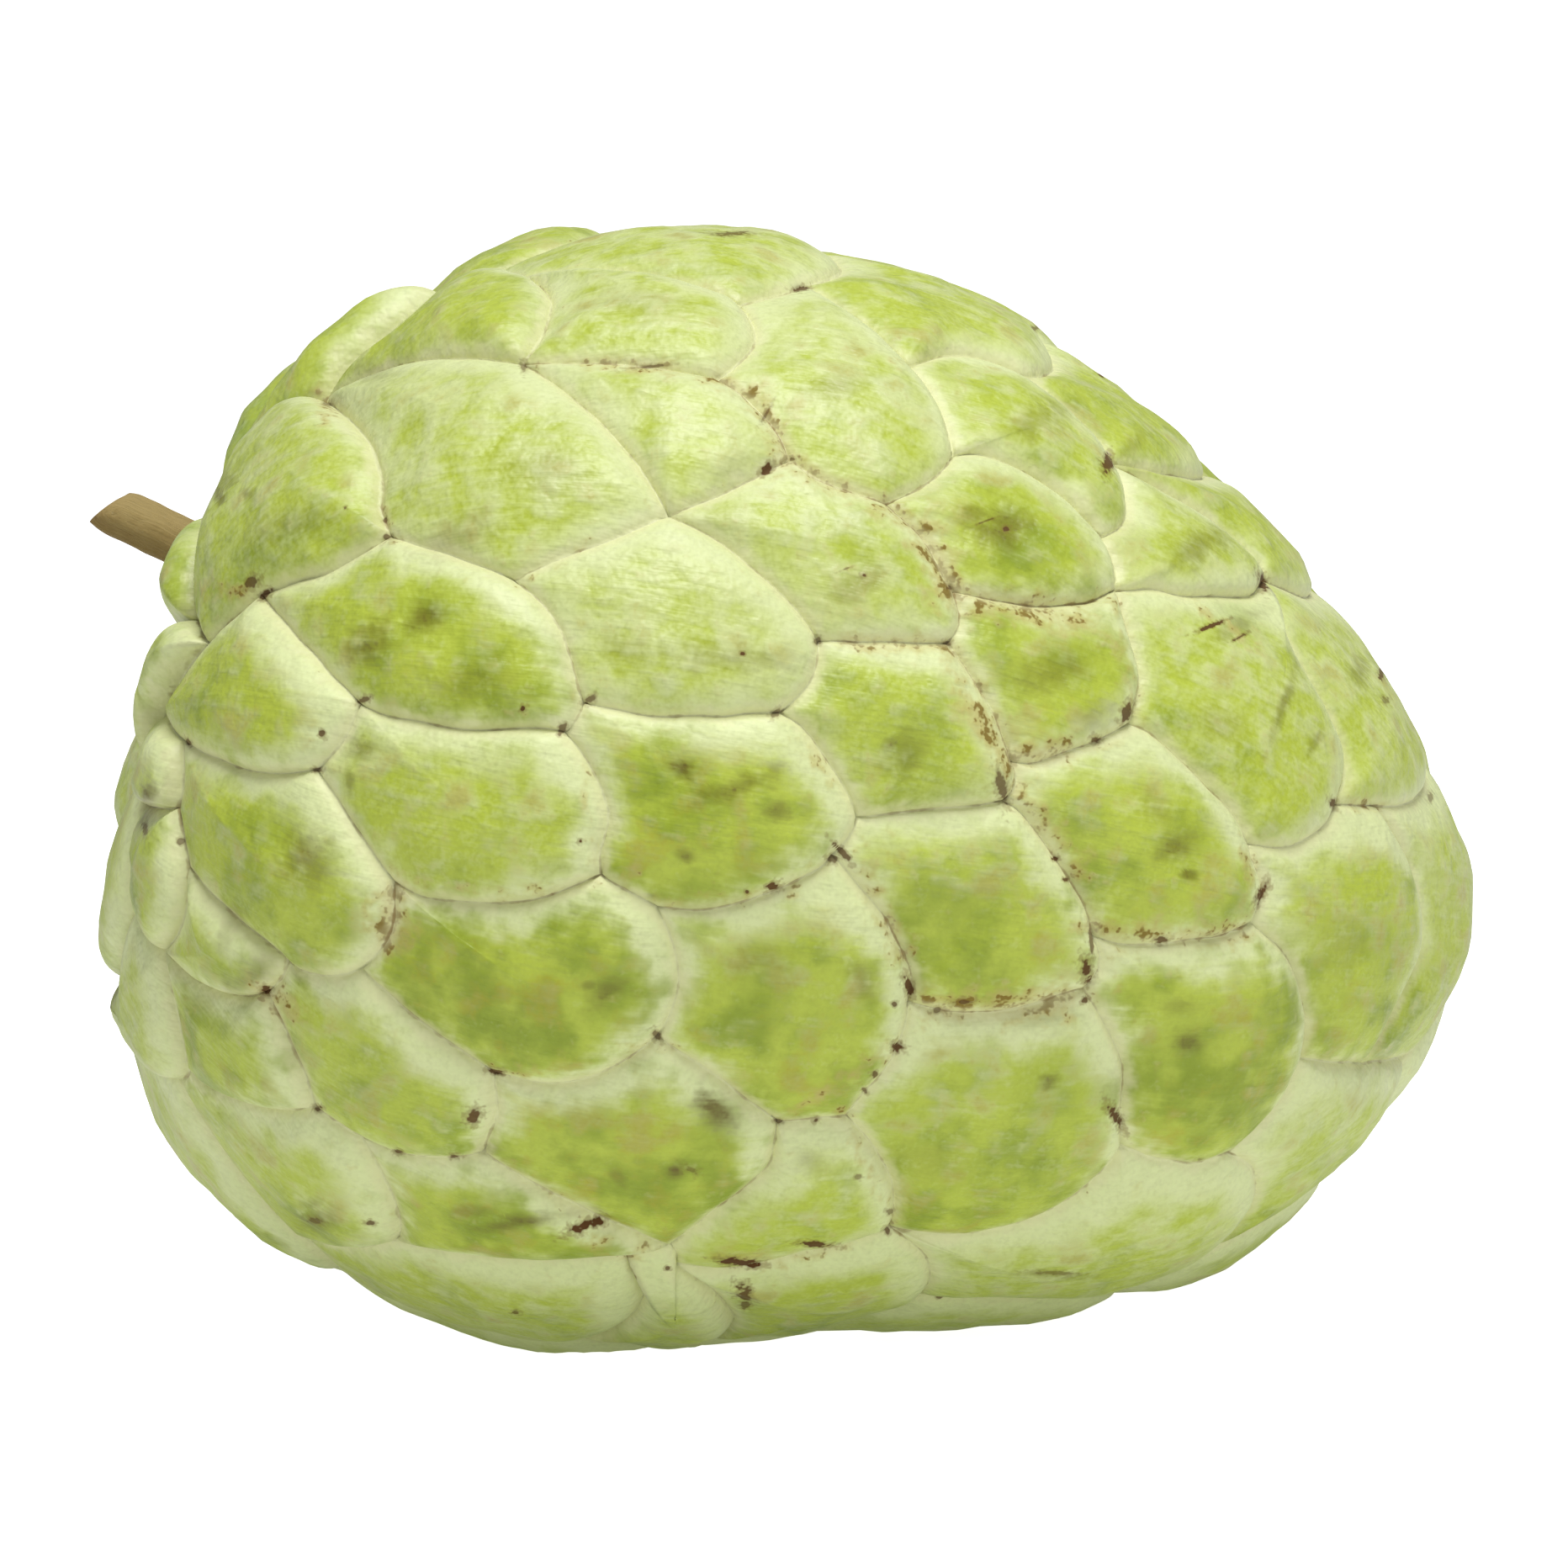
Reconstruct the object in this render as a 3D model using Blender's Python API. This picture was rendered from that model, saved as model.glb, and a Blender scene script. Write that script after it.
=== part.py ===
"""A whole cherimoya lying on its side, with its short cut stem.

The fruit is one solid: a rounded heart shape covered with overlapping scales. The stem is a second solid that
sits in a blind socket at the bottom of the stem cavity. Metres, +Z up, at rest on the plane z = 0, with the
origin under the middle of the whole object. The seen side faces -Y and the blunt tip points to +X.
"""

import math

import bmesh
import bpy
import numpy as np

MM = 0.001

# Driving dimensions, in metres and degrees.
PIXEL = 0.075 * MM            # real length of one pixel of the photograph at the middle of the fruit
VIEW_DISTANCE = 0.60          # from the eye to the middle of the fruit
VIEW_RISE = 8.0               # how far the eye looks down
VIEW_ROLL = 2.8               # the photograph shows the resting plane turned by this much
PICTURE_MIDDLE = (932.0, 932.0)
SIGHT_REACH = 75.0 * MM       # lines of sight are followed this far before and behind the middle of the fruit
SIGHT_STEPS = 601
FRUIT_PIXEL = (850.0, 935.0)  # where the middle of the fruit shows
FRUIT_CENTRE = (-5.354 * MM, -0.072 * MM, 48.6 * MM)

TIP_ANGLE = -10.0             # direction of the blunt tip in the photograph's plane, counted up from the right
WIDTH_SHARE = 0.97            # the fruit is this wide across the line of sight, against its height
PROFILE = (                   # angle in the photograph's plane and radius in millimetres, measured at the seams
    (0, 63.3), (20, 54.9), (40, 49.8), (60, 48.3), (80, 48.0), (100, 49.3), (115, 49.9), (130, 50.0),
    (145, 50.6), (160, 48.6), (172, 48.2), (186, 51.6), (205, 56.2), (225, 55.1), (245, 52.2), (265, 49.1),
    (284, 48.8), (300, 53.3), (315, 60.2), (330, 64.2), (343, 66.6), (352, 66.7),
)

STEM_PIXEL = (279.0, 679.0)   # where the root of the stem would show through the fruit
STEM_CUT_PIXEL = (131.0, 604.0)
STEM_RADIUS = 2.45 * MM
STEM_ROOT_RADIUS = 2.8 * MM
STEM_DRIFT = 2.0 * MM         # the cut end lies this much farther from the eye than the root
STEM_SIDES = 16
STEM_NECK = 0.45              # share of the stem's length at which it has narrowed
STEM_SLANT = 0.45             # slope of the cut end
SOCKET_RADIUS = 3.35 * MM
SOCKET_DEPTH = 3.0 * MM
GAP = 0.3 * MM                # clear space between the stem and the floor of its socket
CAVITY_DEPTH = 2.6 * MM
CAVITY_WIDTH = 7.5            # degrees from the root of the stem

LOBE_HEIGHT = 7.8 * MM        # how far a scale next to the stem stands out from its seams
LOBE_SINK = 3.2 * MM          # how much deeper the seams lie there
SCALE_HEIGHT = 1.7 * MM       # the same for the flat scales of the rest of the fruit
LOBE_REACH = 36.0             # degrees from the stem over which the lobes turn into scales
CREST_SHIFT = 0.16            # the crest lies this share of a scale's length towards the tip
SEAM_BOW = 0.20               # a seam across the fruit bulges towards the tip by this share of its length
PIT_DEPTH = 0.5 * MM          # extra depth where three seams meet
STEEPNESS = 3.0               # how late a scale falls off towards its seams, to the sides
LOBE_STEEPNESS = 2.2          # the same for the round lobes
TIP_STEEPNESS = 1.6           # how much later it does towards the tip, and earlier towards the stem
EDGE_POWER = 0.8              # roundness of a flat scale's shoulder, and of a lobe's: lower is rounder
LOBE_POWER = 0.55
SEAM_STEP = 5.2 * MM          # longest edge along a seam
RINGS = (0.48, 0.84)          # shares of the way from a crest to its seam at which the surface bends
MERGE = 2.0 * MM              # hidden seams shorter than this close up

STRETCH = 0.82                # scales are longer than they are wide by the inverse of this
HIDDEN_SPACING = 18.5 * MM    # distance between the crests of the scales that the photograph doesn't show
HIDDEN_LOBE_SPACING = 13.5 * MM
HIDDEN_TIP_SPACING = 14.0 * MM
STEM_REACH = 32.0             # degrees from the stem, and from the tip, over which the spacing widens
TIP_REACH = 30.0
CLEARANCE = 0.92              # share of the spacing that a new scale has to keep
OUT_OF_SIGHT = 0.12           # new scales lie beyond this share of the radius behind the photograph's plane
SPOTS = 6000                  # places tried for new scales
SPREADING_ROUNDS = 12         # times that the new scales move to the middle of their own area

SHARP_ANGLE = 50.0
SKIN_COLOUR = (0.46, 0.55, 0.17)
SKIN_ROUGHNESS = 0.5
STEM_COLOUR = (0.27, 0.19, 0.09)
STEM_ROUGHNESS = 0.85

# The scales that the photograph shows, each with the pixel of its middle.
SCALES = {
    "a": (330, 585), "b": (345, 470), "c": (242, 690), "d": (300, 820), "e": (202, 800), "f": (198, 918),
    "g": (325, 1010), "h": (190, 1000), "i": (258, 1092), "j": (153, 1035), "k": (275, 1235), "l": (165, 1160),
    "l2": (215, 1365), "m": (500, 420), "n": (590, 560), "o": (775, 520), "p": (512, 770), "q": (812, 728),
    "r": (545, 965), "s": (832, 938), "t": (615, 1165), "u": (925, 1190), "v": (455, 1255), "w": (755, 1365),
    "x": (690, 370), "y": (985, 455), "z": (965, 670), "aa": (1195, 635), "bb": (1205, 480), "cc": (1070, 865),
    "dd": (1240, 805), "ee": (1150, 1080), "ff": (1345, 1000), "gg": (1180, 1325), "hh": (1420, 1240),
    "ii": (1455, 855), "jj": (1410, 645), "kk1": (1340, 500), "kk2": (1450, 605), "ll": (1600, 800),
    "mm": (1590, 1110), "nn": (1720, 1080), "oo": (965, 1410), "pp": (1260, 1480), "qq": (1560, 1340),
    "rr": (590, 1435), "ss": (345, 1380), "tt": (561, 1540), "tt2": (740, 1555), "uu": (895, 1545),
    "uu2": (1125, 1562), "vv": (1110, 370), "ww": (810, 305),
}

# Scales that crowd their neighbours back, with how much farther out their middles count when seams are drawn.
CROWDING = {"a": 1.035}

# The points where scales meet, each with its pixel.
JUNCTIONS = {
    "a b m n": (387, 478), "m n o x": (622, 435), "n o q z": (795, 613), "a n p": (465, 638),
    "n p q": (611, 690), "o x y": (852, 453), "o y z": (938, 548), "aa y z": (1052, 601),
    "aa bb y": (1133, 542), "bb vv y": (1078, 438), "vv ww y": (954, 341), "bb jj kk1 kk2": (1317, 551),
    "aa bb jj": (1307, 640), "aa dd ii jj": (1325, 702), "aa dd z": (1132, 703), "cc dd z": (1125, 765),
    "cc q z": (972, 762), "cc q s": (927, 847), "p q s": (693, 835), "p r s": (671, 870),
    "d p r": (428, 837), "d g r": (376, 915), "a c d p": (312, 708), "d f g": (220, 881),
    "g i v": (343, 1138), "g t v": (429, 1151), "g r t": (468, 1047), "r s t": (714, 1040),
    "s t u": (780, 1078), "cc ee s": (1018, 971), "ee s u": (989, 1016), "t u w": (781, 1232),
    "t v w": (587, 1274), "rr v w": (575, 1368), "rr ss v": (430, 1350), "k ss v": (376, 1316),
    "i k v": (318, 1178), "k l ss": (225, 1268), "l l2 ss": (215, 1282), "rr ss tt": (472, 1473),
    "rr tt tt2 w": (742, 1484), "oo u w": (924, 1333), "gg oo u": (1005, 1325), "ee gg u": (1079, 1190),
    "gg oo pp uu": (1056, 1458), "ee gg hh": (1288, 1175), "ee ff hh": (1297, 1112), "cc dd ff": (1200, 905),
    "cc ee ff": (1192, 952), "dd ff ii": (1342, 860), "ff ii mm": (1481, 1003), "ff hh mm": (1486, 1096),
    "hh mm qq": (1543, 1258), "mm nn qq": (1613, 1265), "hh pp qq": (1459, 1369), "gg hh pp": (1331, 1360),
    "ii ll mm": (1585, 956), "ii jj kk2 ll": (1501, 690), "d e f": (197, 848), 
    "f g h": (214, 960), "g h i": (226, 1030), "ll mm nn": (1634, 958), "bb kk1 vv": (1214, 450),
    "oo tt2 uu w": (800, 1500),
}

# Seams that the bow alone doesn't follow, with the pixels that they pass through.
BENDS = {
    "a n": ((428, 511), (453, 559), (456, 605)),
    "a p": ((350, 694), (385, 682), (425, 663)),
    "n o": ((657, 456), (718, 508), (768, 568)),
    "o y": ((892, 479), (915, 506)),
    "y z": ((973, 572), (1024, 590)),
    "aa z": ((1088, 631), (1106, 660)),
    "bb y": ((1115, 485),),
    "bb vv": ((1125, 424), (1167, 428)),
    "bb kk1": ((1266, 490), (1298, 525)),
    "aa bb": ((1165, 541), (1215, 562), (1262, 592)),
    "aa dd": ((1190, 716), (1240, 722), (1290, 716)),
    "jj kk2": ((1368, 579), (1431, 618), (1482, 666)),
    "ii jj": ((1367, 702), (1415, 709), (1482, 708)),
    "ii ll": ((1523, 756), (1572, 846), (1595, 900)),
    "dd ii": ((1340, 756), (1350, 795), (1350, 826)),
    "d g": ((238, 893), (270, 906), (308, 919), (345, 918)),
    "p q": ((640, 712), (664, 748), (680, 790)),
    "p r": ((456, 851), (508, 860), (568, 868), (635, 865)),
    "q z": ((852, 643), (916, 694), (947, 724)),
    "q s": ((731, 844), (779, 850), (842, 852), (884, 850)),
    "r s": ((691, 893), (723, 960), (722, 992), (714, 1015)),
    "r t": ((488, 1059), (520, 1070), (600, 1074), (661, 1061)),
    "cc s": ((957, 869), (992, 914), (1005, 938)),
    "s u": ((811, 1079), (850, 1079), (916, 1060), (971, 1033)),
    "ee u": ((1011, 1040), (1053, 1094), (1081, 1155)),
    "ee ff": ((1215, 968), (1252, 1019), (1287, 1072)),
    "ee gg": ((1107, 1199), (1155, 1204), (1203, 1199), (1250, 1185)),
    "dd ff": ((1231, 907), (1273, 891), (1301, 881)),
    "ff ii": ((1368, 875), (1422, 920), (1468, 975)),
    "ff mm": ((1493, 1034), (1500, 1059)),
    "ii mm": ((1508, 1007), (1540, 1003), (1572, 986)),
    "ff hh": ((1323, 1120), (1361, 1123), (1406, 1117), (1447, 1112)),
    "hh mm": ((1530, 1140), (1549, 1200)),
    "mm nn": ((1668, 1020), (1684, 1088), (1678, 1140), (1650, 1200)),
    "g v": ((357, 1153), (385, 1160), (413, 1156)),
    "i k": ((221, 1153), (245, 1169), (295, 1184)),
    "k ss": ((251, 1292), (296, 1310), (337, 1317)),
    "t w": ((615, 1282), (662, 1289), (718, 1274), (762, 1247)),
    "v w": ((590, 1322),),
    "rr v": ((474, 1369), (510, 1374), (543, 1374)),
    "gg u": ((1076, 1215), (1054, 1266), (1024, 1301)),
    "gg hh": ((1305, 1203), (1329, 1257), (1332, 1317)),
    "oo w": ((920, 1357), (914, 1384), (889, 1407), (850, 1436)),
    "oo uu": ((852, 1507), (903, 1498), (951, 1486), (995, 1476)),
    "gg pp": ((1080, 1462), (1136, 1467), (1196, 1456), (1260, 1428), (1316, 1381)),
    "hh pp": ((1356, 1371), (1389, 1379), (1422, 1381)),
    "hh qq": ((1514, 1313),),
}

# Scales whose crest isn't in the middle of their seams, with the pixel towards which it lies.
CRESTS = {"a": (300, 585), "pp": (1235, 1512)}


def unit(vectors):
    """The same directions with length one."""
    vectors = np.asarray(vectors, dtype=float)
    return vectors / np.linalg.norm(vectors, axis=-1, keepdims=True)


def view_axes():
    """The photograph's right, up and forward directions in the object's frame."""
    rise = math.radians(VIEW_RISE)
    roll = math.radians(VIEW_ROLL)
    level = np.array([1.0, 0.0, 0.0])
    steep = np.array([0.0, math.sin(rise), math.cos(rise)])
    forward = np.array([0.0, math.cos(rise), -math.sin(rise)])
    right = math.cos(roll) * level - math.sin(roll) * steep
    up = math.sin(roll) * level + math.cos(roll) * steep
    return right, up, forward


RIGHT, UP, FORWARD = view_axes()
CENTRE = np.array(FRUIT_CENTRE)
TIP = math.cos(math.radians(TIP_ANGLE)) * RIGHT + math.sin(math.radians(TIP_ANGLE)) * UP
TOP = np.cross(FORWARD, -TIP)


def profile_radius(angle):
    """Radius of the fruit in the photograph's plane, by a smooth closed curve through PROFILE."""
    angles = np.radians([a for a, _ in PROFILE])
    radii = np.array([r for _, r in PROFILE]) * MM
    a = np.concatenate([angles[-2:] - 2 * math.pi, angles, angles[:2] + 2 * math.pi])
    r = np.concatenate([radii[-2:], radii, radii[:2]])
    slope = (r[2:] - r[:-2]) / (a[2:] - a[:-2])
    a, r = a[1:-1], r[1:-1]
    angle = np.mod(angle - a[0], 2 * math.pi) + a[0]
    i = np.clip(np.searchsorted(a, angle, side="right") - 1, 0, len(a) - 2)
    span = a[i + 1] - a[i]
    t = (angle - a[i]) / span
    start = (1 + 2 * t) * (1 - t) ** 2 * r[i] + t * (1 - t) ** 2 * span * slope[i]
    end = t * t * (3 - 2 * t) * r[i + 1] + t * t * (t - 1) * span * slope[i + 1]
    return start + end


def body_radius(directions):
    """Radius of the fruit at its seams, in any direction from its centre, without the stem cavity."""
    along = directions @ TIP
    high = directions @ TOP
    deep = directions @ FORWARD
    around = np.maximum(np.hypot(high, deep), 1e-9)
    turn = np.arctan2(around, along)
    upper = profile_radius(math.radians(TIP_ANGLE) + turn)
    lower = profile_radius(math.radians(TIP_ANGLE) - turn)
    mean = (upper + lower) / 2
    lean = (upper - lower) / 2
    side = mean * (1 - (1 - WIDTH_SHARE) * np.sin(turn) ** 2)
    c, s = high / around, deep / around
    return mean * c * c + side * s * s + lean * c


def eye_point():
    """Where the photograph was taken from."""
    middle = CENTRE + PIXEL * ((PICTURE_MIDDLE[0] - FRUIT_PIXEL[0]) * RIGHT
                               - (PICTURE_MIDDLE[1] - FRUIT_PIXEL[1]) * UP)
    return middle - VIEW_DISTANCE * FORWARD


def sight_directions(pixels):
    """Directions from the eye through the given pixels."""
    pixels = np.atleast_2d(np.asarray(pixels, dtype=float))
    across = (pixels[:, 0] - PICTURE_MIDDLE[0]) * PIXEL
    down = (pixels[:, 1] - PICTURE_MIDDLE[1]) * PIXEL
    return unit(VIEW_DISTANCE * FORWARD + across[:, None] * RIGHT - down[:, None] * UP)


def cast(pixels, surface, far_side=False):
    """Directions from the fruit's centre to where the given pixels' lines of sight meet a surface round it."""
    lines = sight_directions(pixels)
    reach = np.linspace(VIEW_DISTANCE - SIGHT_REACH, VIEW_DISTANCE + SIGHT_REACH, SIGHT_STEPS)
    points = eye_point() + lines[:, None, :] * reach[None, :, None] - CENTRE
    inside = surface(unit(points)) - np.linalg.norm(points, axis=-1)
    result = []
    for row, depth in zip(points, inside):
        hits = np.nonzero(depth > 0)[0]
        if len(hits) == 0:
            result.append(row[int(np.argmax(depth))])
        else:
            result.append(row[hits[-1] if far_side else hits[0]])
    return unit(np.array(result))


STEM_DIRECTION = cast(STEM_PIXEL, body_radius, far_side=True)[0]


def stem_frame():
    """Where the stem leaves the fruit, its direction, and its length to the middle of the cut."""
    root = CENTRE + STEM_DIRECTION * seam_radius(STEM_DIRECTION[None, :])[0]
    line = sight_directions(STEM_CUT_PIXEL)[0]
    depth = VIEW_DISTANCE + (root - CENTRE) @ FORWARD + STEM_DRIFT
    cut = eye_point() + line * depth / (line @ FORWARD)
    return root, unit(cut - root), np.linalg.norm(cut - root)


def lobe_share(directions):
    """One beside the stem, where the scales are round lobes, falling to nothing over the flat scales."""
    apart = np.degrees(np.arccos(np.clip(directions @ STEM_DIRECTION, -1, 1)))
    return np.exp(-(apart / LOBE_REACH) ** 2)


def seam_radius(directions):
    """Radius of the fruit at its seams, with the stem cavity and the deeper grooves between the lobes."""
    apart = np.degrees(np.arccos(np.clip(directions @ STEM_DIRECTION, -1, 1)))
    cavity = CAVITY_DEPTH * np.exp(-(apart / CAVITY_WIDTH) ** 2)
    return body_radius(directions) - cavity - LOBE_SINK * lobe_share(directions)


def squeezed(points):
    """Points with their lengths along the fruit shortened, so that equal spacing gives long scales."""
    along = points @ TIP
    return points - (1 - STRETCH) * along[..., None] * TIP


def widened(directions):
    """Directions among the squeezed points, turned back to the fruit's own."""
    along = directions @ TIP
    return unit(directions + (1 / STRETCH - 1) * along[..., None] * TIP)


def fibonacci_directions(count):
    """Directions spread evenly all round, along a spiral from pole to pole."""
    steps = np.arange(count) + 0.5
    high = 1 - 2 * steps / count
    turn = math.pi * (1 + math.sqrt(5)) * steps
    flat = np.sqrt(1 - high ** 2)
    return np.stack([flat * np.cos(turn), flat * np.sin(turn), high], axis=1)


def hidden_spacing(directions):
    """Distance between crests on the hidden side: close by the stem, wide at the middle."""
    from_stem = np.degrees(np.arccos(np.clip(directions @ STEM_DIRECTION, -1, 1)))
    from_tip = np.degrees(np.arccos(np.clip(directions @ TIP, -1, 1)))
    spacing = HIDDEN_SPACING * np.ones(len(directions))
    spacing -= (HIDDEN_SPACING - HIDDEN_LOBE_SPACING) * np.exp(-(from_stem / STEM_REACH) ** 2)
    spacing -= (HIDDEN_SPACING - HIDDEN_TIP_SPACING) * np.exp(-(from_tip / TIP_REACH) ** 2)
    return spacing


def place_scales():
    """Names and directions of all scales: the seen ones, the stem's own, and hidden ones packed in between."""
    names = list(SCALES) + ["stem"]
    sites = np.vstack([cast(list(SCALES.values()), seam_radius), STEM_DIRECTION[None, :]])
    fixed = len(sites)
    spots = fibonacci_directions(SPOTS)
    places = squeezed(spots * body_radius(spots)[:, None])
    spacing = hidden_spacing(spots)
    behind = spots @ FORWARD > OUT_OF_SIGHT
    while True:
        taken = squeezed(sites * body_radius(sites)[:, None])
        clear = np.linalg.norm(places[:, None, :] - taken[None, :, :], axis=2).min(axis=1) / spacing
        free = np.nonzero(behind & (clear >= CLEARANCE))[0]
        if len(free) == 0:
            break
        sites = np.vstack([sites, spots[free[np.argmin(clear[free])]]])
    for _ in range(SPREADING_ROUNDS):
        taken = squeezed(sites * body_radius(sites)[:, None])
        nearest = np.argmin(np.linalg.norm(places[:, None, :] - taken[None, :, :], axis=2), axis=1)
        for k in range(fixed, len(sites)):
            sites[k] = unit(spots[nearest == k].mean(axis=0))
    names += [f"hidden_{k:02d}" for k in range(len(sites) - fixed)]
    return names, sites


def meeting_triples(spots):
    """Every three scales that meet at a point, from the convex hull of their middles."""
    bm = bmesh.new()
    for spot in spots:
        bm.verts.new(spot)
    bm.verts.ensure_lookup_table()
    bmesh.ops.convex_hull(bm, input=list(bm.verts))
    bmesh.ops.triangulate(bm, faces=list(bm.faces))
    bm.verts.index_update()
    triples = [tuple(v.index for v in face.verts) for face in bm.faces]
    bm.free()
    return triples


class Network:
    """The scales and the seams between them, as directions from the fruit's centre."""

    def __init__(self):
        self.names, self.sites = place_scales()
        self.points = {}
        self.cells = []
        self.corner_of = {}
        self.find_corners()
        self.close_short_seams()
        self.walk_cells()

    def find_corners(self):
        """Names the points where scales meet: the photograph's own where it shows them, worked out elsewhere."""
        named = {frozenset(key.split()): key for key in JUNCTIONS}
        seen = dict(zip(JUNCTIONS, cast(list(JUNCTIONS.values()), seam_radius)))
        crowding = np.array([CROWDING.get(name, 1.0) for name in self.names])
        spots = unit(squeezed(self.sites)) * crowding[:, None]
        self.triples = meeting_triples(spots)
        for triple in self.triples:
            here = {self.names[k] for k in triple}
            key = next((k for s, k in named.items() if here <= s), None)
            if key:
                self.points[key] = seen[key]
                self.corner_of[triple] = key
                continue
            a, b, c = spots[list(triple)]
            normal = unit(np.cross(b - a, c - a))
            normal = normal if normal @ (a + b + c) > 0 else -normal
            self.points[triple] = widened(normal[None, :])[0]
            self.corner_of[triple] = triple

    def close_short_seams(self):
        """Joins the two ends of every hidden seam that would be too short to see."""
        by_pair = {}
        for triple in self.triples:
            for pair in ((0, 1), (1, 2), (2, 0)):
                by_pair.setdefault(frozenset((triple[pair[0]], triple[pair[1]])), []).append(triple)
        for first, second in by_pair.values():
            p, q = self.corner_of[first], self.corner_of[second]
            if p == q:
                continue
            length = np.linalg.norm(self.points[p] - self.points[q]) * body_radius(self.points[p][None, :])[0]
            if length > MERGE or (isinstance(p, str) and isinstance(q, str)):
                continue
            keep, drop = (p, q) if isinstance(p, str) else (q, p)
            if not isinstance(keep, str):
                self.points[keep] = unit(self.points[keep] + self.points[drop])
            for triple, corner in self.corner_of.items():
                if corner == drop:
                    self.corner_of[triple] = keep

    def walk_cells(self):
        """For each scale, its corners in order round it and the scale beyond each seam."""
        for k in range(len(self.names)):
            around = [t for t in self.triples if k in t]
            middle = unit(sum(self.sites[j] for t in around for j in t))
            side = unit(np.cross(middle, self.points[self.corner_of[around[0]]]))
            other = np.cross(middle, side)

            def bearing(index):
                away = self.sites[index] - self.sites[k]
                return math.atan2(away @ other, away @ side)

            neighbours = sorted({j for t in around for j in t if j != k}, key=bearing)
            corners = []
            for here, after in zip(neighbours, neighbours[1:] + neighbours[:1]):
                triple = next(t for t in around if here in t and after in t)
                corners.append((self.corner_of[triple], after))
            clean = [c for n, c in enumerate(corners) if c[0] != corners[(n + 1) % len(corners)][0]]
            self.cells.append(clean)


def bowed_seam(start, end, via, step):
    """Directions from one corner to the next, both left out, bulging towards the tip or through given points."""
    corners = [start, *via, end]
    length = sum(np.linalg.norm(q - p) for p, q in zip(corners, corners[1:]))
    count = max(1, math.ceil(length * body_radius(start[None, :])[0] / step))
    share = np.arange(1, count) / count
    if len(via):
        knots = np.array([2 * start - corners[1], *corners, 2 * end - corners[-2]])
        along = share * (len(corners) - 1)
        k = np.minimum(along.astype(int), len(corners) - 2)
        t = (along - k)[:, None]
        p0, p1, p2, p3 = knots[k], knots[k + 1], knots[k + 2], knots[k + 3]
        path = 0.5 * (2 * p1 + (p2 - p0) * t + (2 * p0 - 5 * p1 + 4 * p2 - p3) * t ** 2
                      + (3 * p1 - p0 - 3 * p2 + p3) * t ** 3)
        return unit(path)
    middle = unit(start + end)
    forth = TIP - (TIP @ middle) * middle
    run = unit(end - start)
    if np.linalg.norm(forth) < 1e-6:
        forth = np.zeros(3)
    else:
        forth = unit(forth)
    across = 1 - abs(forth @ run)
    bow = SEAM_BOW * length * across * 4 * share * (1 - share)
    return unit(start + (end - start) * share[:, None] + bow[:, None] * forth)


def scale_height(share, crest, steepness, lobe):
    """Height over the seam at a share of the way from the crest to the seam."""
    return crest * (1 - share ** steepness) ** (EDGE_POWER + (LOBE_POWER - EDGE_POWER) * lobe)


def build_fruit(network):
    """The fruit's mesh: a fan and rings on each scale, whose edges lie on the seams, and the stem's socket."""
    bm = bmesh.new()
    root, axis, _ = stem_frame()
    bends = {frozenset(key.split()): cast(pixels, seam_radius) for key, pixels in BENDS.items()}
    crests = {name: cast(pixel, seam_radius)[0] for name, pixel in CRESTS.items()}
    corner_verts = {}
    seam_verts = {}

    def add(direction, height):
        return bm.verts.new(CENTRE + direction * (seam_radius(direction[None, :])[0] + height))

    def corner_vert(key):
        if key not in corner_verts:
            corner_verts[key] = add(network.points[key], -PIT_DEPTH)
        return corner_verts[key]

    def seam(p, q, k, j):
        if (q, p) in seam_verts:
            return seam_verts[(q, p)][::-1]
        if (p, q) not in seam_verts:
            start, end = network.points[p], network.points[q]
            via = list(bends.get(frozenset((network.names[k], network.names[j])), ()))
            if via and np.linalg.norm(via[0] - start) > np.linalg.norm(via[0] - end):
                via = via[::-1]
            path = bowed_seam(start, end, via, SEAM_STEP)
            seam_verts[(p, q)] = [(d, add(d, 0.0)) for d in path]
        return seam_verts[(p, q)]

    for k, name in enumerate(network.names):
        rim = []
        cell = network.cells[k]
        for (p, beyond), (q, _) in zip(cell, cell[1:] + cell[:1]):
            rim.append((network.points[p], corner_vert(p)))
            rim.extend(seam(p, q, k, beyond))
        directions = np.array([d for d, _ in rim])
        loop = [v for _, v in rim]
        if name == "stem":
            close_socket(bm, loop, root, axis)
            continue
        middle = crests.get(name, unit(directions.sum(axis=0)))
        reach = np.linalg.norm(directions - middle, axis=1).mean()
        forth = unit(TIP - (TIP @ middle) * middle)
        middle = unit(middle + CREST_SHIFT * reach * forth)
        lobe = lobe_share(middle[None, :])[0]
        crest = SCALE_HEIGHT + (LOBE_HEIGHT - SCALE_HEIGHT) * lobe
        outward = unit(directions - middle) @ forth
        steepness = STEEPNESS + (LOBE_STEEPNESS - STEEPNESS) * lobe + TIP_STEEPNESS * outward
        rings = []
        for share in RINGS:
            spots = unit(middle + (directions - middle) * share)
            rings.append([add(d, scale_height(share, crest, s, lobe)) for d, s in zip(spots, steepness)])
        rings.append(loop)
        top = add(middle, crest)
        count = len(loop)
        for n in range(count):
            after = (n + 1) % count
            bm.faces.new((top, rings[0][n], rings[0][after]))
            for inner, outer in zip(rings, rings[1:]):
                bm.faces.new((inner[n], outer[n], outer[after]))
                bm.faces.new((inner[n], outer[after], inner[after]))
    bm.normal_update()
    bmesh.ops.recalc_face_normals(bm, faces=list(bm.faces))
    return bm


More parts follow.
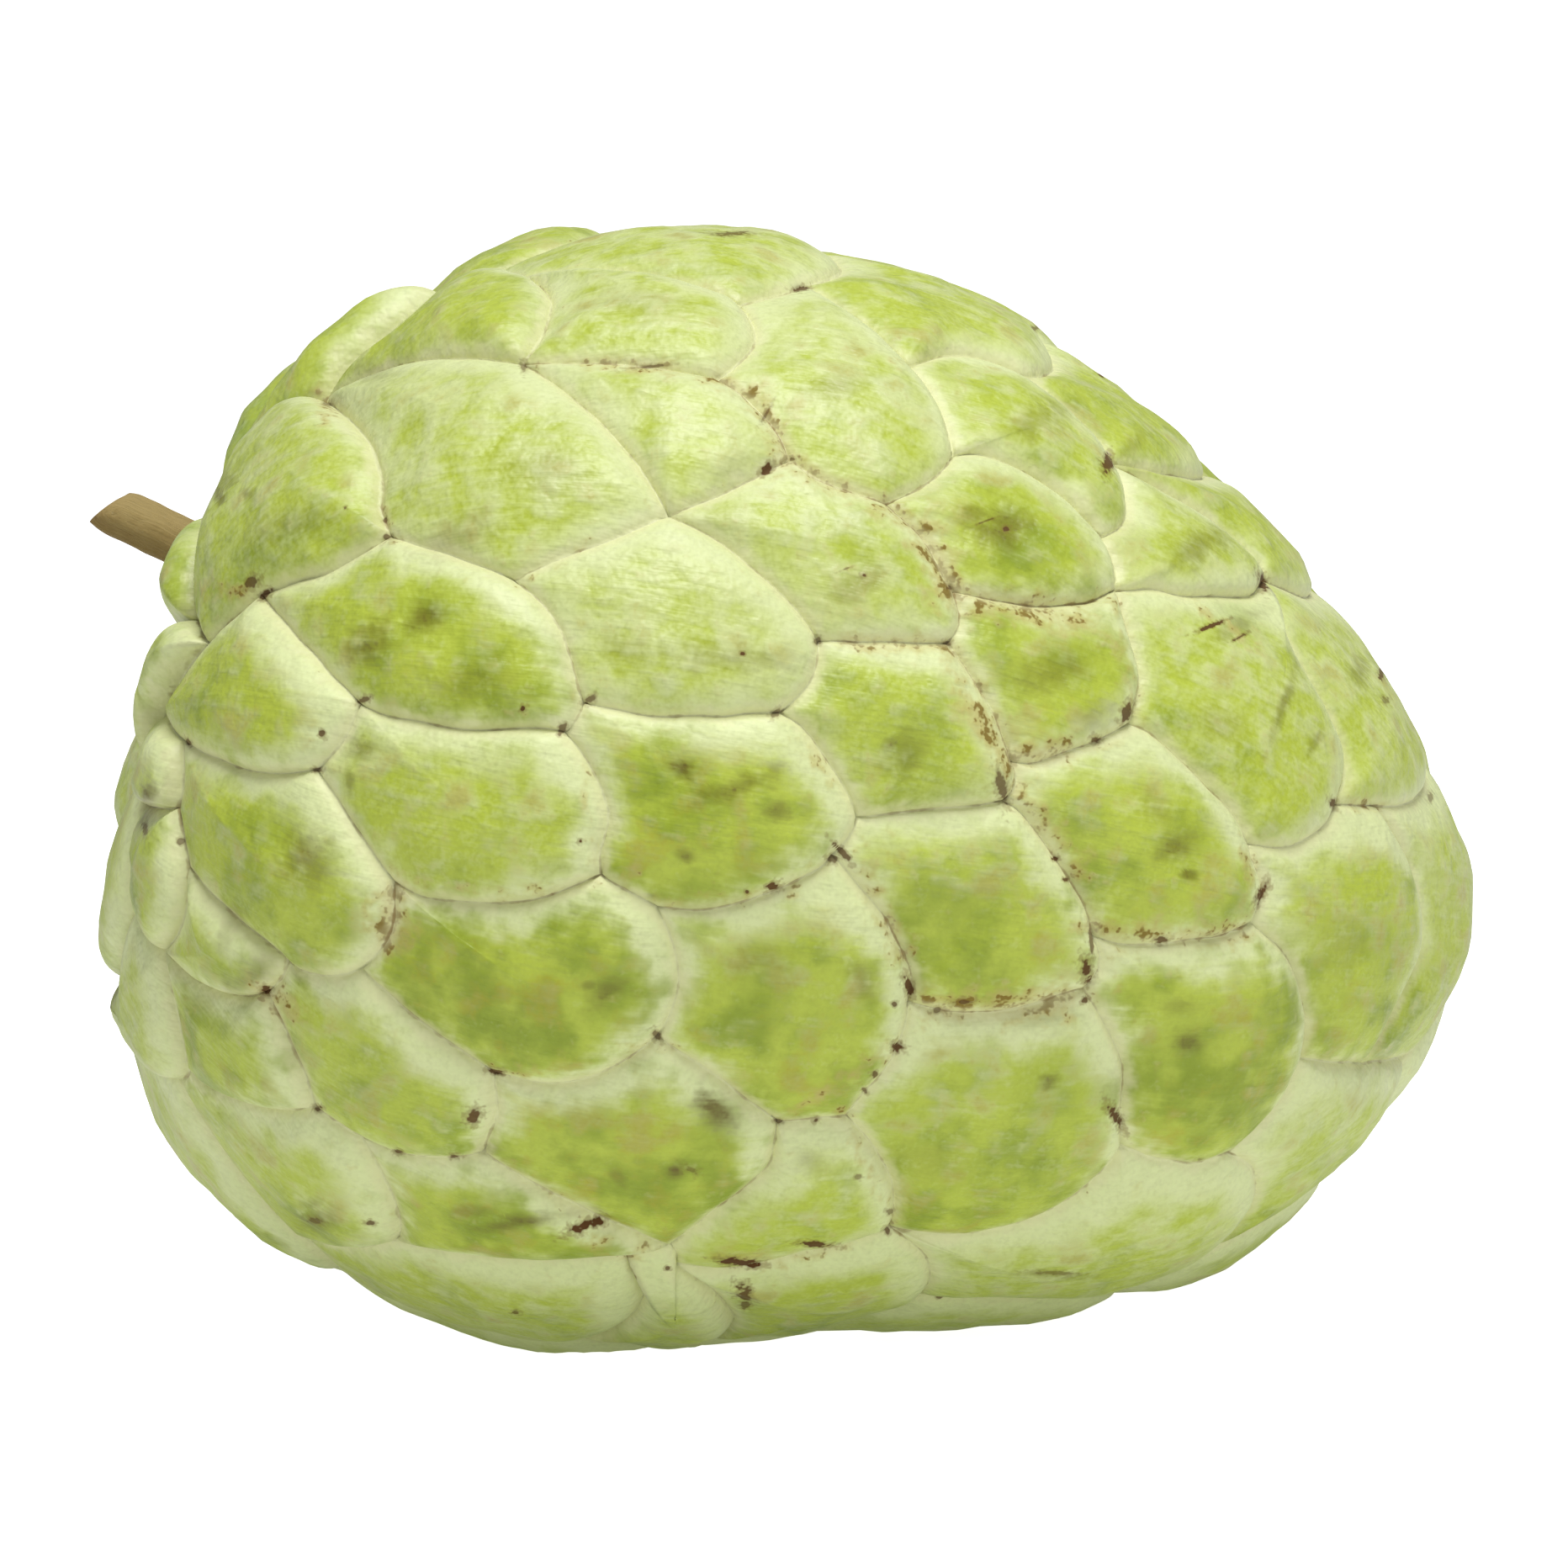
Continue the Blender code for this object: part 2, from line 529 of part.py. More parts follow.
def close_socket(bm, loop, root, axis):
    """Rings from the seam of the stem's own scale to the mouth of the socket, down its wall and over its floor."""
    side = unit(np.cross(axis, UP))
    other = np.cross(axis, side)
    count = len(loop)
    away = np.array([np.array(v.co) - root for v in loop])
    bearings = np.arctan2(away @ other, away @ side)
    turns = np.unwrap(bearings)
    way = 1.0 if turns[-1] > turns[0] else -1.0
    first = np.mean(turns - way * 2 * math.pi * np.arange(count) / count)
    even = first + way * 2 * math.pi * np.arange(count) / count
    ring = np.cos(even)[:, None] * side + np.sin(even)[:, None] * other
    mouth = [bm.verts.new(root + SOCKET_RADIUS * r) for r in ring]
    foot = [bm.verts.new(root - SOCKET_DEPTH * axis + SOCKET_RADIUS * r) for r in ring]
    for outer, inner in ((loop, mouth), (mouth, foot)):
        for n in range(count):
            after = (n + 1) % count
            bm.faces.new((inner[n], outer[n], outer[after]))
            bm.faces.new((inner[n], outer[after], inner[after]))
    bm.faces.new(foot)


def flatten_underside(bm):
    """Cuts the fruit level with the surface it lies on, which leaves its small flat resting spots."""
    everything = list(bm.verts) + list(bm.edges) + list(bm.faces)
    bmesh.ops.bisect_plane(bm, geom=everything, dist=1e-6, plane_co=(0, 0, 0), plane_no=(0, 0, 1),
                           clear_inner=True)
    edges = [e for e in bm.edges if e.is_boundary]
    bmesh.ops.holes_fill(bm, edges=edges, sides=0)
    bmesh.ops.triangulate(bm, faces=[f for f in bm.faces if len(f.verts) > 3])
    bmesh.ops.recalc_face_normals(bm, faces=list(bm.faces))


def build_stem():
    """The woody stub: rings along its axis, a little wider at its root, cut off at a slant."""
    root, axis, length = stem_frame()
    side = unit(np.cross(axis, UP))
    high = np.cross(side, axis)
    bm = bmesh.new()
    stations = ((GAP - SOCKET_DEPTH, STEM_ROOT_RADIUS), (0.0, STEM_ROOT_RADIUS),
                (STEM_NECK * length, STEM_RADIUS), (length, STEM_RADIUS))
    rings = []
    for number, (along, radius) in enumerate(stations):
        ring = []
        for n in range(STEM_SIDES):
            turn = 2 * math.pi * n / STEM_SIDES
            slant = STEM_SLANT * radius * math.sin(turn) if number == len(stations) - 1 else 0.0
            spot = root + (along - slant) * axis + radius * (math.cos(turn) * side + math.sin(turn) * high)
            ring.append(bm.verts.new(spot))
        rings.append(ring)
    for inner, outer in zip(rings, rings[1:]):
        for n in range(STEM_SIDES):
            after = (n + 1) % STEM_SIDES
            bm.faces.new((inner[n], inner[after], outer[after], outer[n]))
    bm.faces.new(rings[0])
    bm.faces.new(rings[-1])
    bmesh.ops.recalc_face_normals(bm, faces=list(bm.faces))
    return bm


def finish_object(bm, name, colour, roughness):
    """Turns a mesh into a named, smoothly shaded object with its own material."""
    mesh = bpy.data.meshes.new(name)
    bm.to_mesh(mesh)
    bm.free()
    mesh.shade_smooth()
    mesh.set_sharp_from_angle(angle=math.radians(SHARP_ANGLE))
    material = bpy.data.materials.new(name)
    material.use_nodes = True
    shader = material.node_tree.nodes["Principled BSDF"]
    shader.inputs["Base Color"].default_value = (*colour, 1.0)
    shader.inputs["Roughness"].default_value = roughness
    shader.inputs["Metallic"].default_value = 0.0
    mesh.materials.append(material)
    thing = bpy.data.objects.new(name, mesh)
    bpy.context.scene.collection.objects.link(thing)
    return thing


def main():
    for old in list(bpy.data.objects):
        bpy.data.objects.remove(old, do_unlink=True)
    network = Network()
    fruit = build_fruit(network)
    flatten_underside(fruit)
    fruit_object = finish_object(fruit, "fruit", SKIN_COLOUR, SKIN_ROUGHNESS)
    stem_object = finish_object(build_stem(), "stem", STEM_COLOUR, STEM_ROUGHNESS)
    return network, fruit_object, stem_object


if __name__ == "__main__":
    main()
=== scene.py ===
# %% [markdown]
# # A cherimoya on a pale table
#
# A cherimoya is a heart-shaped fruit whose skin is made of many overlapping scales. Each scale was one
# flower's seed case, and all of them grew together. This lesson dresses a plain solid model of the fruit.
# It gives every scale its soft swelling, draws the thin corky seams, and paints the waxy skin with nodes.
#
# The solid model is loaded first. It is the frame that everything has to fit, so its box is kept for
# later.

# %% Load the solid model
import math
import random

import bmesh
import bpy
import numpy as np
from mathutils import Matrix, Vector, noise


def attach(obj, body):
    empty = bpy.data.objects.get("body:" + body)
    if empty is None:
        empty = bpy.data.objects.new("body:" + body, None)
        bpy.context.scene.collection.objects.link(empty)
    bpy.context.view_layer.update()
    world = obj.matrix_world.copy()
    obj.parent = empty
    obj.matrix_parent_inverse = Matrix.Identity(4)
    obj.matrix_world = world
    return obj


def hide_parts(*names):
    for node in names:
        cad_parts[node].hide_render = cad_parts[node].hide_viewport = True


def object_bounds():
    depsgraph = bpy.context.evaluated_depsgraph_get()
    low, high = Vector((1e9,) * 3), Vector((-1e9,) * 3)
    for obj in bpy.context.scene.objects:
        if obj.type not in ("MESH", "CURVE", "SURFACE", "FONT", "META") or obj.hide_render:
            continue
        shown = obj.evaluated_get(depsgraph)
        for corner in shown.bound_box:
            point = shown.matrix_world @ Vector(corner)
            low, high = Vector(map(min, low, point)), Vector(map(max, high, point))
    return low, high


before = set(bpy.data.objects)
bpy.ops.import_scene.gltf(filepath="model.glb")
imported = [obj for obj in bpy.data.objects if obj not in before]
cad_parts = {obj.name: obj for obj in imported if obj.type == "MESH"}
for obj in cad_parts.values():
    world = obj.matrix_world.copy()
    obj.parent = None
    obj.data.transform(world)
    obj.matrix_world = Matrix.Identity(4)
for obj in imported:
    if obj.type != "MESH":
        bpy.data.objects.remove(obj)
cad_low, cad_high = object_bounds()
MM = 0.001
print("solid model:", sorted(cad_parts), [round(v / MM, 1) for v in cad_high - cad_low], "mm")

# %% [markdown]
# ## Where the photograph was taken from
#
# All places on the skin are read from one photograph, so the same camera has to look at the model. The
# fruit lies on its side, its blunt tip to the right. The camera stands 0.6 m away, looks down by 8
# degrees and is turned by 2.8 degrees about its own line of sight, which brings the two lowest scales
# level with the table.
#
# Three directions describe that camera: right, up and forward. Everything later uses them.

# %% The camera's directions
PIXEL = 0.075 * MM  # what one pixel covers at the fruit's middle
VIEW_DISTANCE = 0.60
VIEW_RISE = 8.0      # degrees
VIEW_ROLL = 2.8
PICTURE_SIZE = 1864.0
PICTURE_MIDDLE = (932.0, 932.0)
FRUIT_PIXEL = (850.0, 935.0)
CENTRE = np.array([-5.354, -0.072, 48.6]) * MM


def unit(vectors):
    """The same directions with length one."""
    vectors = np.asarray(vectors, dtype=float)
    return vectors / np.linalg.norm(vectors, axis=-1, keepdims=True)


def view_axes():
    """Right, up and forward of the photograph in the fruit's own frame."""
    rise, roll = math.radians(VIEW_RISE), math.radians(VIEW_ROLL)
    level = np.array([1.0, 0.0, 0.0])
    steep = np.array([0.0, math.sin(rise), math.cos(rise)])
    forward = np.array([0.0, math.cos(rise), -math.sin(rise)])
    right = math.cos(roll) * level - math.sin(roll) * steep
    up = math.sin(roll) * level + math.cos(roll) * steep
    return right, up, forward


RIGHT, UP, FORWARD = view_axes()
EYE = CENTRE - VIEW_DISTANCE * FORWARD + PIXEL * (
    (PICTURE_MIDDLE[0] - FRUIT_PIXEL[0]) * RIGHT - (PICTURE_MIDDLE[1] - FRUIT_PIXEL[1]) * UP)
print("the eye is at", (EYE / MM).round(1), "mm")

# %% Add an object to the scene
# The camera is the first of a few objects that are made the same way.
def add_object(name, data):
    """A new object with the given mesh, lamp or camera, linked into the scene."""
    item = bpy.data.objects.new(name, data)
    bpy.context.scene.collection.objects.link(item)
    return item


# %% The camera
# One pixel is 0.075 mm at the fruit's middle, so the picture is 139.8 mm wide there. A sensor of 36 mm
# then needs a lens of about 154 mm, a mild telephoto as in a product photograph.
SENSOR = 36.0
camera_data = bpy.data.cameras.new("camera")
camera_data.sensor_width = SENSOR
camera_data.lens = SENSOR * VIEW_DISTANCE / (PICTURE_SIZE * PIXEL)
camera_data.clip_start = 0.01
camera = add_object("camera", camera_data)
turn = Matrix((RIGHT, UP, -FORWARD)).transposed().to_4x4()
camera.matrix_world = Matrix.Translation(Vector(EYE)) @ turn
bpy.context.scene.camera = camera
print("lens", round(camera_data.lens, 1), "mm")

# %% [markdown]
# ## The fruit's body
#
# Without its scales, the fruit is a rounded heart. Its outline was read from the photograph as a radius
# for each angle, and a smooth closed curve runs through these radii. Turning that outline about the line
# from the stem to the tip, and blending the upper half into the lower one, gives the whole body from one
# list of numbers.

# %% The outline as radii
TIP_ANGLE = -10.0
WIDTH_SHARE = 0.97
PROFILE = (         # degrees in the photograph's plane, and millimetres
    (0, 63.3), (20, 54.9), (40, 49.8), (60, 48.3), (80, 48.0), (100, 49.3), (115, 49.9), (130, 50.0),
    (145, 50.6), (160, 48.6), (172, 48.2), (186, 51.6), (205, 56.2), (225, 55.1), (245, 52.2),
    (265, 49.1), (284, 48.8), (300, 53.3), (315, 60.2), (330, 64.2), (343, 66.6), (352, 66.7),
)
TIP = math.cos(math.radians(TIP_ANGLE)) * RIGHT + math.sin(math.radians(TIP_ANGLE)) * UP
TOP = np.cross(FORWARD, -TIP)


def profile_radius(angle):
    """Radius in the photograph's plane, by a smooth closed curve through PROFILE."""
    angles = np.radians([a for a, _ in PROFILE])
    radii = np.array([r for _, r in PROFILE]) * MM
    a = np.concatenate([angles[-2:] - 2 * math.pi, angles, angles[:2] + 2 * math.pi])
    r = np.concatenate([radii[-2:], radii, radii[:2]])
    slope = (r[2:] - r[:-2]) / (a[2:] - a[:-2])
    a, r = a[1:-1], r[1:-1]
    angle = np.mod(angle - a[0], 2 * math.pi) + a[0]
    i = np.clip(np.searchsorted(a, angle, side="right") - 1, 0, len(a) - 2)
    span = a[i + 1] - a[i]
    t = (angle - a[i]) / span
    start = (1 + 2 * t) * (1 - t) ** 2 * r[i] + t * (1 - t) ** 2 * span * slope[i]
    end = t * t * (3 - 2 * t) * r[i + 1] + t * t * (t - 1) * span * slope[i + 1]
    return start + end


# %% The body in every direction
def body_radius(directions):
    """Radius of the body from its centre, without the hollow round the stem."""
    along, high, deep = directions @ TIP, directions @ TOP, directions @ FORWARD
    around = np.maximum(np.hypot(high, deep), 1e-9)
    turn = np.arctan2(around, along)
    upper = profile_radius(math.radians(TIP_ANGLE) + turn)
    lower = profile_radius(math.radians(TIP_ANGLE) - turn)
    mean, lean = (upper + lower) / 2, (upper - lower) / 2
    side = mean * (1 - (1 - WIDTH_SHARE) * np.sin(turn) ** 2)
    c, s = high / around, deep / around
    return mean * c * c + side * s * s + lean * c


print("radius towards the tip", round(body_radius(TIP[None, :])[0] / MM, 1), "mm")


# %% Lines of sight
SIGHT_REACH = 75 * MM
SIGHT_STEPS = 601


def sight_directions(pixels):
    """Directions from the eye through pixels of the photograph."""
    pixels = np.atleast_2d(np.asarray(pixels, dtype=float))
    across = (pixels[:, 0] - PICTURE_MIDDLE[0]) * PIXEL
    down = (pixels[:, 1] - PICTURE_MIDDLE[1]) * PIXEL
    return unit(VIEW_DISTANCE * FORWARD + across[:, None] * RIGHT - down[:, None] * UP)


def cast(pixels, surface, far_side=False):
    """Directions from the fruit's centre to where the pixels' lines of sight meet a surface round it."""
    lines = sight_directions(pixels)
    reach = np.linspace(VIEW_DISTANCE - SIGHT_REACH, VIEW_DISTANCE + SIGHT_REACH, SIGHT_STEPS)
    points = EYE + lines[:, None, :] * reach[None, :, None] - CENTRE
    inside = surface(unit(points)) - np.linalg.norm(points, axis=-1)
    found = []
    for row, depth in zip(points, inside):
        hits = np.nonzero(depth > 0)[0]
        if len(hits) == 0:
            found.append(row[int(np.argmax(depth))])
        else:
            found.append(row[hits[-1] if far_side else hits[0]])
    return unit(np.array(found))


def pixel_of(points):
    """Where points of the fruit show in the photograph."""
    away = points - EYE
    depth = away @ FORWARD
    x = (away @ RIGHT) / depth * VIEW_DISTANCE / PIXEL + PICTURE_MIDDLE[0]
    y = -(away @ UP) / depth * VIEW_DISTANCE / PIXEL + PICTURE_MIDDLE[1]
    return np.stack([x, y], axis=-1)


# %% [markdown]
# ## The stem and its hollow
#
# The stem leaves the fruit at the left, behind the big knobs. A small hollow lies round its root, and
# between the knobs the seams run up to 3 mm deeper than elsewhere.

# %% The hollow round the stem
CAVITY_DEPTH = 2.6 * MM
CAVITY_WIDTH = 7.5    # degrees
LOBE_REACH = 36.0
LOBE_SINK = 3.2 * MM
STEM_DIRECTION = cast((279, 679), body_radius, far_side=True)[0]


def degrees_from(directions, axis):
    """Angle between directions and one axis, in degrees."""
    return np.degrees(np.arccos(np.clip(directions @ axis, -1, 1)))


def knobbiness(directions):
    """One beside the stem, falling to nothing over the flat scales."""
    return np.exp(-(degrees_from(directions, STEM_DIRECTION) / LOBE_REACH) ** 2)


def seam_radius(directions):
    """Radius of the fruit at its seams."""
    hollow = CAVITY_DEPTH * np.exp(-(degrees_from(directions, STEM_DIRECTION) / CAVITY_WIDTH) ** 2)
    return body_radius(directions) - hollow - LOBE_SINK * knobbiness(directions)


STEM_ROOT = CENTRE + STEM_DIRECTION * seam_radius(STEM_DIRECTION[None, :])[0]
print("the stem's root is at", (STEM_ROOT / MM).round(1), "mm")

# %% [markdown]
# ## The scales that the photograph shows
#
# Each scale gets a short name and the pixel of its middle. Where scales meet, the meeting point was read
# as well, and a few long seams have extra points that they bend through. These few readings fix the whole
# pattern of the seen side, and no picture is needed to draw it.

# %% Middles of the seen scales
SCALES = {
    "a": (330, 585), "b": (345, 470), "c": (242, 690), "d": (300, 820), "e": (202, 800), "f": (198, 918),
    "g": (325, 1010), "h": (190, 1000), "i": (258, 1092), "j": (153, 1035), "k": (275, 1235),
    "l": (165, 1160), "l2": (215, 1365), "m": (500, 420), "n": (590, 560), "o": (775, 520),
    "p": (512, 770), "q": (812, 728), "r": (545, 965), "s": (832, 938), "t": (615, 1165),
    "u": (925, 1190), "v": (455, 1255), "w": (755, 1365), "x": (690, 370), "y": (985, 455),
    "z": (965, 670), "aa": (1195, 635), "bb": (1205, 480), "cc": (1070, 865), "dd": (1240, 805),
    "ee": (1150, 1080), "ff": (1345, 1000), "gg": (1180, 1325), "hh": (1420, 1240), "ii": (1455, 855),
    "jj": (1410, 645), "kk1": (1340, 500), "kk2": (1450, 605), "ll": (1600, 800), "mm": (1590, 1110),
    "nn": (1720, 1080), "oo": (965, 1410), "pp": (1260, 1480), "qq": (1560, 1340), "rr": (590, 1435),
    "ss": (345, 1380), "tt": (561, 1540), "tt2": (740, 1555), "uu": (895, 1545), "uu2": (1125, 1562),
    "vv": (1110, 370), "ww": (810, 305),
}
CROWDING = {"a": 1.035}       # a swollen scale that pushes its neighbours back
CRESTS = {"a": (300, 585), "pp": (1235, 1512)}  # a scale whose crest isn't in its middle
print(len(SCALES), "scales can be seen")

# %% Points where scales meet
JUNCTIONS = {
    "a b m n": (387, 478), "m n o x": (622, 435), "n o q z": (795, 613), "a n p": (465, 638),
    "n p q": (611, 690), "o x y": (852, 453), "o y z": (938, 548), "aa y z": (1052, 601),
    "aa bb y": (1133, 542), "bb vv y": (1078, 438), "vv ww y": (954, 341), "bb jj kk1 kk2": (1317, 551),
    "aa bb jj": (1307, 640), "aa dd ii jj": (1325, 702), "aa dd z": (1132, 703), "cc dd z": (1125, 765),
    "cc q z": (972, 762), "cc q s": (927, 847), "p q s": (693, 835), "p r s": (671, 870),
    "d p r": (428, 837), "d g r": (376, 915), "a c d p": (312, 708), "d f g": (220, 881),
    "g i v": (343, 1138), "g t v": (429, 1151), "g r t": (468, 1047), "r s t": (714, 1040),
    "s t u": (780, 1078), "cc ee s": (1018, 971), "ee s u": (989, 1016), "t u w": (781, 1232),
    "t v w": (587, 1274), "rr v w": (575, 1368), "rr ss v": (430, 1350), "k ss v": (376, 1316),
    "i k v": (318, 1178), "k l ss": (225, 1268), "l l2 ss": (215, 1282), "rr ss tt": (472, 1473),
    "rr tt tt2 w": (742, 1484), "oo u w": (924, 1333), "gg oo u": (1005, 1325), "ee gg u": (1079, 1190),
    "gg oo pp uu": (1056, 1458), "ee gg hh": (1288, 1175), "ee ff hh": (1297, 1112),
    "cc dd ff": (1200, 905), "cc ee ff": (1192, 952), "dd ff ii": (1342, 860), "ff ii mm": (1481, 1003),
    "ff hh mm": (1486, 1096), "hh mm qq": (1543, 1258), "mm nn qq": (1613, 1265),
    "hh pp qq": (1459, 1369), "gg hh pp": (1331, 1360), "ii ll mm": (1585, 956),
    "ii jj kk2 ll": (1501, 690), "d e f": (197, 848), "f g h": (214, 960), "g h i": (226, 1030),
    "ll mm nn": (1634, 958), "bb kk1 vv": (1214, 450), "oo tt2 uu w": (800, 1500),
}
BENDS = {
    "a n": ((428, 511), (453, 559), (456, 605)),
    "a p": ((350, 694), (385, 682), (425, 663)),
    "n o": ((657, 456), (718, 508), (768, 568)),
    "o y": ((892, 479), (915, 506)),
    "y z": ((973, 572), (1024, 590)),
    "aa z": ((1088, 631), (1106, 660)),
    "bb y": ((1115, 485),),
    "bb vv": ((1125, 424), (1167, 428)),
    "bb kk1": ((1266, 490), (1298, 525)),
    "aa bb": ((1165, 541), (1215, 562), (1262, 592)),
    "aa dd": ((1190, 716), (1240, 722), (1290, 716)),
    "jj kk2": ((1368, 579), (1431, 618), (1482, 666)),
    "ii jj": ((1367, 702), (1415, 709), (1482, 708)),
    "ii ll": ((1523, 756), (1572, 846), (1595, 900)),
    "dd ii": ((1340, 756), (1350, 795), (1350, 826)),
    "d g": ((238, 893), (270, 906), (308, 919), (345, 918)),
    "p q": ((640, 712), (664, 748), (680, 790)),
    "p r": ((456, 851), (508, 860), (568, 868), (635, 865)),
    "q z": ((852, 643), (916, 694), (947, 724)),
    "q s": ((731, 844), (779, 850), (842, 852), (884, 850)),
    "r s": ((691, 893), (723, 960), (722, 992), (714, 1015)),
    "r t": ((488, 1059), (520, 1070), (600, 1074), (661, 1061)),
    "cc s": ((957, 869), (992, 914), (1005, 938)),
    "s u": ((811, 1079), (850, 1079), (916, 1060), (971, 1033)),
    "ee u": ((1011, 1040), (1053, 1094), (1081, 1155)),
    "ee ff": ((1215, 968), (1252, 1019), (1287, 1072)),
    "ee gg": ((1107, 1199), (1155, 1204), (1203, 1199), (1250, 1185)),
    "dd ff": ((1231, 907), (1273, 891), (1301, 881)),
    "ff ii": ((1368, 875), (1422, 920), (1468, 975)),
    "ff mm": ((1493, 1034), (1500, 1059)),
    "ii mm": ((1508, 1007), (1540, 1003), (1572, 986)),
    "ff hh": ((1323, 1120), (1361, 1123), (1406, 1117), (1447, 1112)),
    "hh mm": ((1530, 1140), (1549, 1200)),
    "mm nn": ((1668, 1020), (1684, 1088), (1678, 1140), (1650, 1200)),
    "g v": ((357, 1153), (385, 1160), (413, 1156)),
    "i k": ((221, 1153), (245, 1169), (295, 1184)),
    "k ss": ((251, 1292), (296, 1310), (337, 1317)),
    "t w": ((615, 1282), (662, 1289), (718, 1274), (762, 1247)),
    "v w": ((590, 1322),),
    "rr v": ((474, 1369), (510, 1374), (543, 1374)),
    "gg u": ((1076, 1215), (1054, 1266), (1024, 1301)),
    "gg hh": ((1305, 1203), (1329, 1257), (1332, 1317)),
    "oo w": ((920, 1357), (914, 1384), (889, 1407), (850, 1436)),
    "oo uu": ((852, 1507), (903, 1498), (951, 1486), (995, 1476)),
    "gg pp": ((1080, 1462), (1136, 1467), (1196, 1456), (1260, 1428), (1316, 1381)),
    "hh pp": ((1356, 1371), (1389, 1379), (1422, 1381)),
    "hh qq": ((1514, 1313),),
}
print(len(JUNCTIONS), "meeting points and", len(BENDS), "bent seams")

# %% [markdown]
# ## The scales that nobody sees
#
# The far side and the underside need scales too. They are packed in one by one, each as close to its
# neighbours as real scales grow: small near the stem, wide at the waist, smaller again at the tip.
# Afterwards each moves to the middle of its own area a few times, which evens them out. Scales are longer
# than wide, so distances are measured on a fruit that has been squeezed along its length.

# %% Squeezed distances
STRETCH = 0.82


def squeezed(points):
    """Points with their lengths along the fruit shortened."""
    return points - (1 - STRETCH) * (points @ TIP)[..., None] * TIP


def widened(directions):
    """Directions among squeezed points, turned back to the fruit's own."""
    return unit(directions + (1 / STRETCH - 1) * (directions @ TIP)[..., None] * TIP)


def even_directions(count):
    """Directions spread evenly all round, along a spiral from pole to pole."""
    steps = np.arange(count) + 0.5
    high = 1 - 2 * steps / count
    turn = math.pi * (1 + math.sqrt(5)) * steps
    flat = np.sqrt(1 - high ** 2)
    return np.stack([flat * np.cos(turn), flat * np.sin(turn), high], axis=1)


# %% Pack the hidden scales
HIDDEN_SPACING = 18.5 * MM
HIDDEN_LOBE_SPACING = 13.5 * MM
HIDDEN_TIP_SPACING = 14.0 * MM
LOBE_SPREAD, TIP_SPREAD = 32.0, 30.0  # degrees
SPOT_COUNT = 6000
BEHIND = 0.12        # how far a direction points away from the camera
CLOSEST = 0.92       # share of the wanted spacing that is close enough
ROUNDS = 12


def hidden_spacing(directions):
    """Distance between the middles of hidden scales."""
    spacing = HIDDEN_SPACING * np.ones(len(directions))
    near_stem = np.exp(-(degrees_from(directions, STEM_DIRECTION) / LOBE_SPREAD) ** 2)
    near_tip = np.exp(-(degrees_from(directions, TIP) / TIP_SPREAD) ** 2)
    spacing -= (HIDDEN_SPACING - HIDDEN_LOBE_SPACING) * near_stem
    return spacing - (HIDDEN_SPACING - HIDDEN_TIP_SPACING) * near_tip


def place_scales():
    """Names and directions of all scales: the seen ones, the stem's own, and the hidden ones."""
    names = list(SCALES) + ["stem"]
    sites = np.vstack([cast(list(SCALES.values()), seam_radius), STEM_DIRECTION[None, :]])
    fixed = len(sites)
    spots = even_directions(SPOT_COUNT)
    places = squeezed(spots * body_radius(spots)[:, None])
    spacing = hidden_spacing(spots)
    behind = spots @ FORWARD > BEHIND
    while True:
        taken = squeezed(sites * body_radius(sites)[:, None])
        clear = np.linalg.norm(places[:, None, :] - taken[None, :, :], axis=2).min(axis=1) / spacing
        free = np.nonzero(behind & (clear >= CLOSEST))[0]
        if len(free) == 0:
            break
        sites = np.vstack([sites, spots[free[np.argmin(clear[free])]]])
    for _ in range(ROUNDS):
        taken = squeezed(sites * body_radius(sites)[:, None])
        nearest = np.argmin(np.linalg.norm(places[:, None, :] - taken[None, :, :], axis=2), axis=1)
        for k in range(fixed, len(sites)):
            sites[k] = unit(spots[nearest == k].mean(axis=0))
    return names + [f"hidden_{k:02d}" for k in range(len(sites) - fixed)], sites


names, sites = place_scales()
print(len(names), "scales in all, with the stem's own")

# %% [markdown]
# ## Which scales meet
#
# Three scales meet wherever a triangle of the hull round their middles says so. Blender's convex hull
# finds these triangles at once. A meeting point that was read from the photograph takes its place there,
# and the others are worked out from the triangle itself.


# %% Triangles of the hull
def meeting_triples(spots):
    """Every three scales that meet at a point."""
    bm = bmesh.new()
    for spot in spots:
        bm.verts.new(spot)
    bm.verts.ensure_lookup_table()
    bmesh.ops.convex_hull(bm, input=list(bm.verts))
    bmesh.ops.triangulate(bm, faces=list(bm.faces))
    bm.verts.index_update()
    triples = [tuple(v.index for v in face.verts) for face in bm.faces]
    bm.free()
    return triples


def find_corners():
    """The meeting points, and the one that each triple of scales has."""
    named = {frozenset(key.split()): key for key in JUNCTIONS}
    seen = dict(zip(JUNCTIONS, cast(list(JUNCTIONS.values()), seam_radius)))
    spots = unit(squeezed(sites)) * np.array([CROWDING.get(name, 1.0) for name in names])[:, None]
    points, corner_of = {}, {}
    for triple in meeting_triples(spots):
        here = {names[k] for k in triple}
        key = next((k for s, k in named.items() if here <= s), None)
        if key:
            points[key] = seen[key]
            corner_of[triple] = key
            continue
        a, b, c = spots[list(triple)]
        normal = unit(np.cross(b - a, c - a))
        normal = normal if normal @ (a + b + c) > 0 else -normal
        points[triple] = widened(normal[None, :])[0]
        corner_of[triple] = triple
    return points, corner_of


points, corner_of = find_corners()
print(len(corner_of), "meeting points")


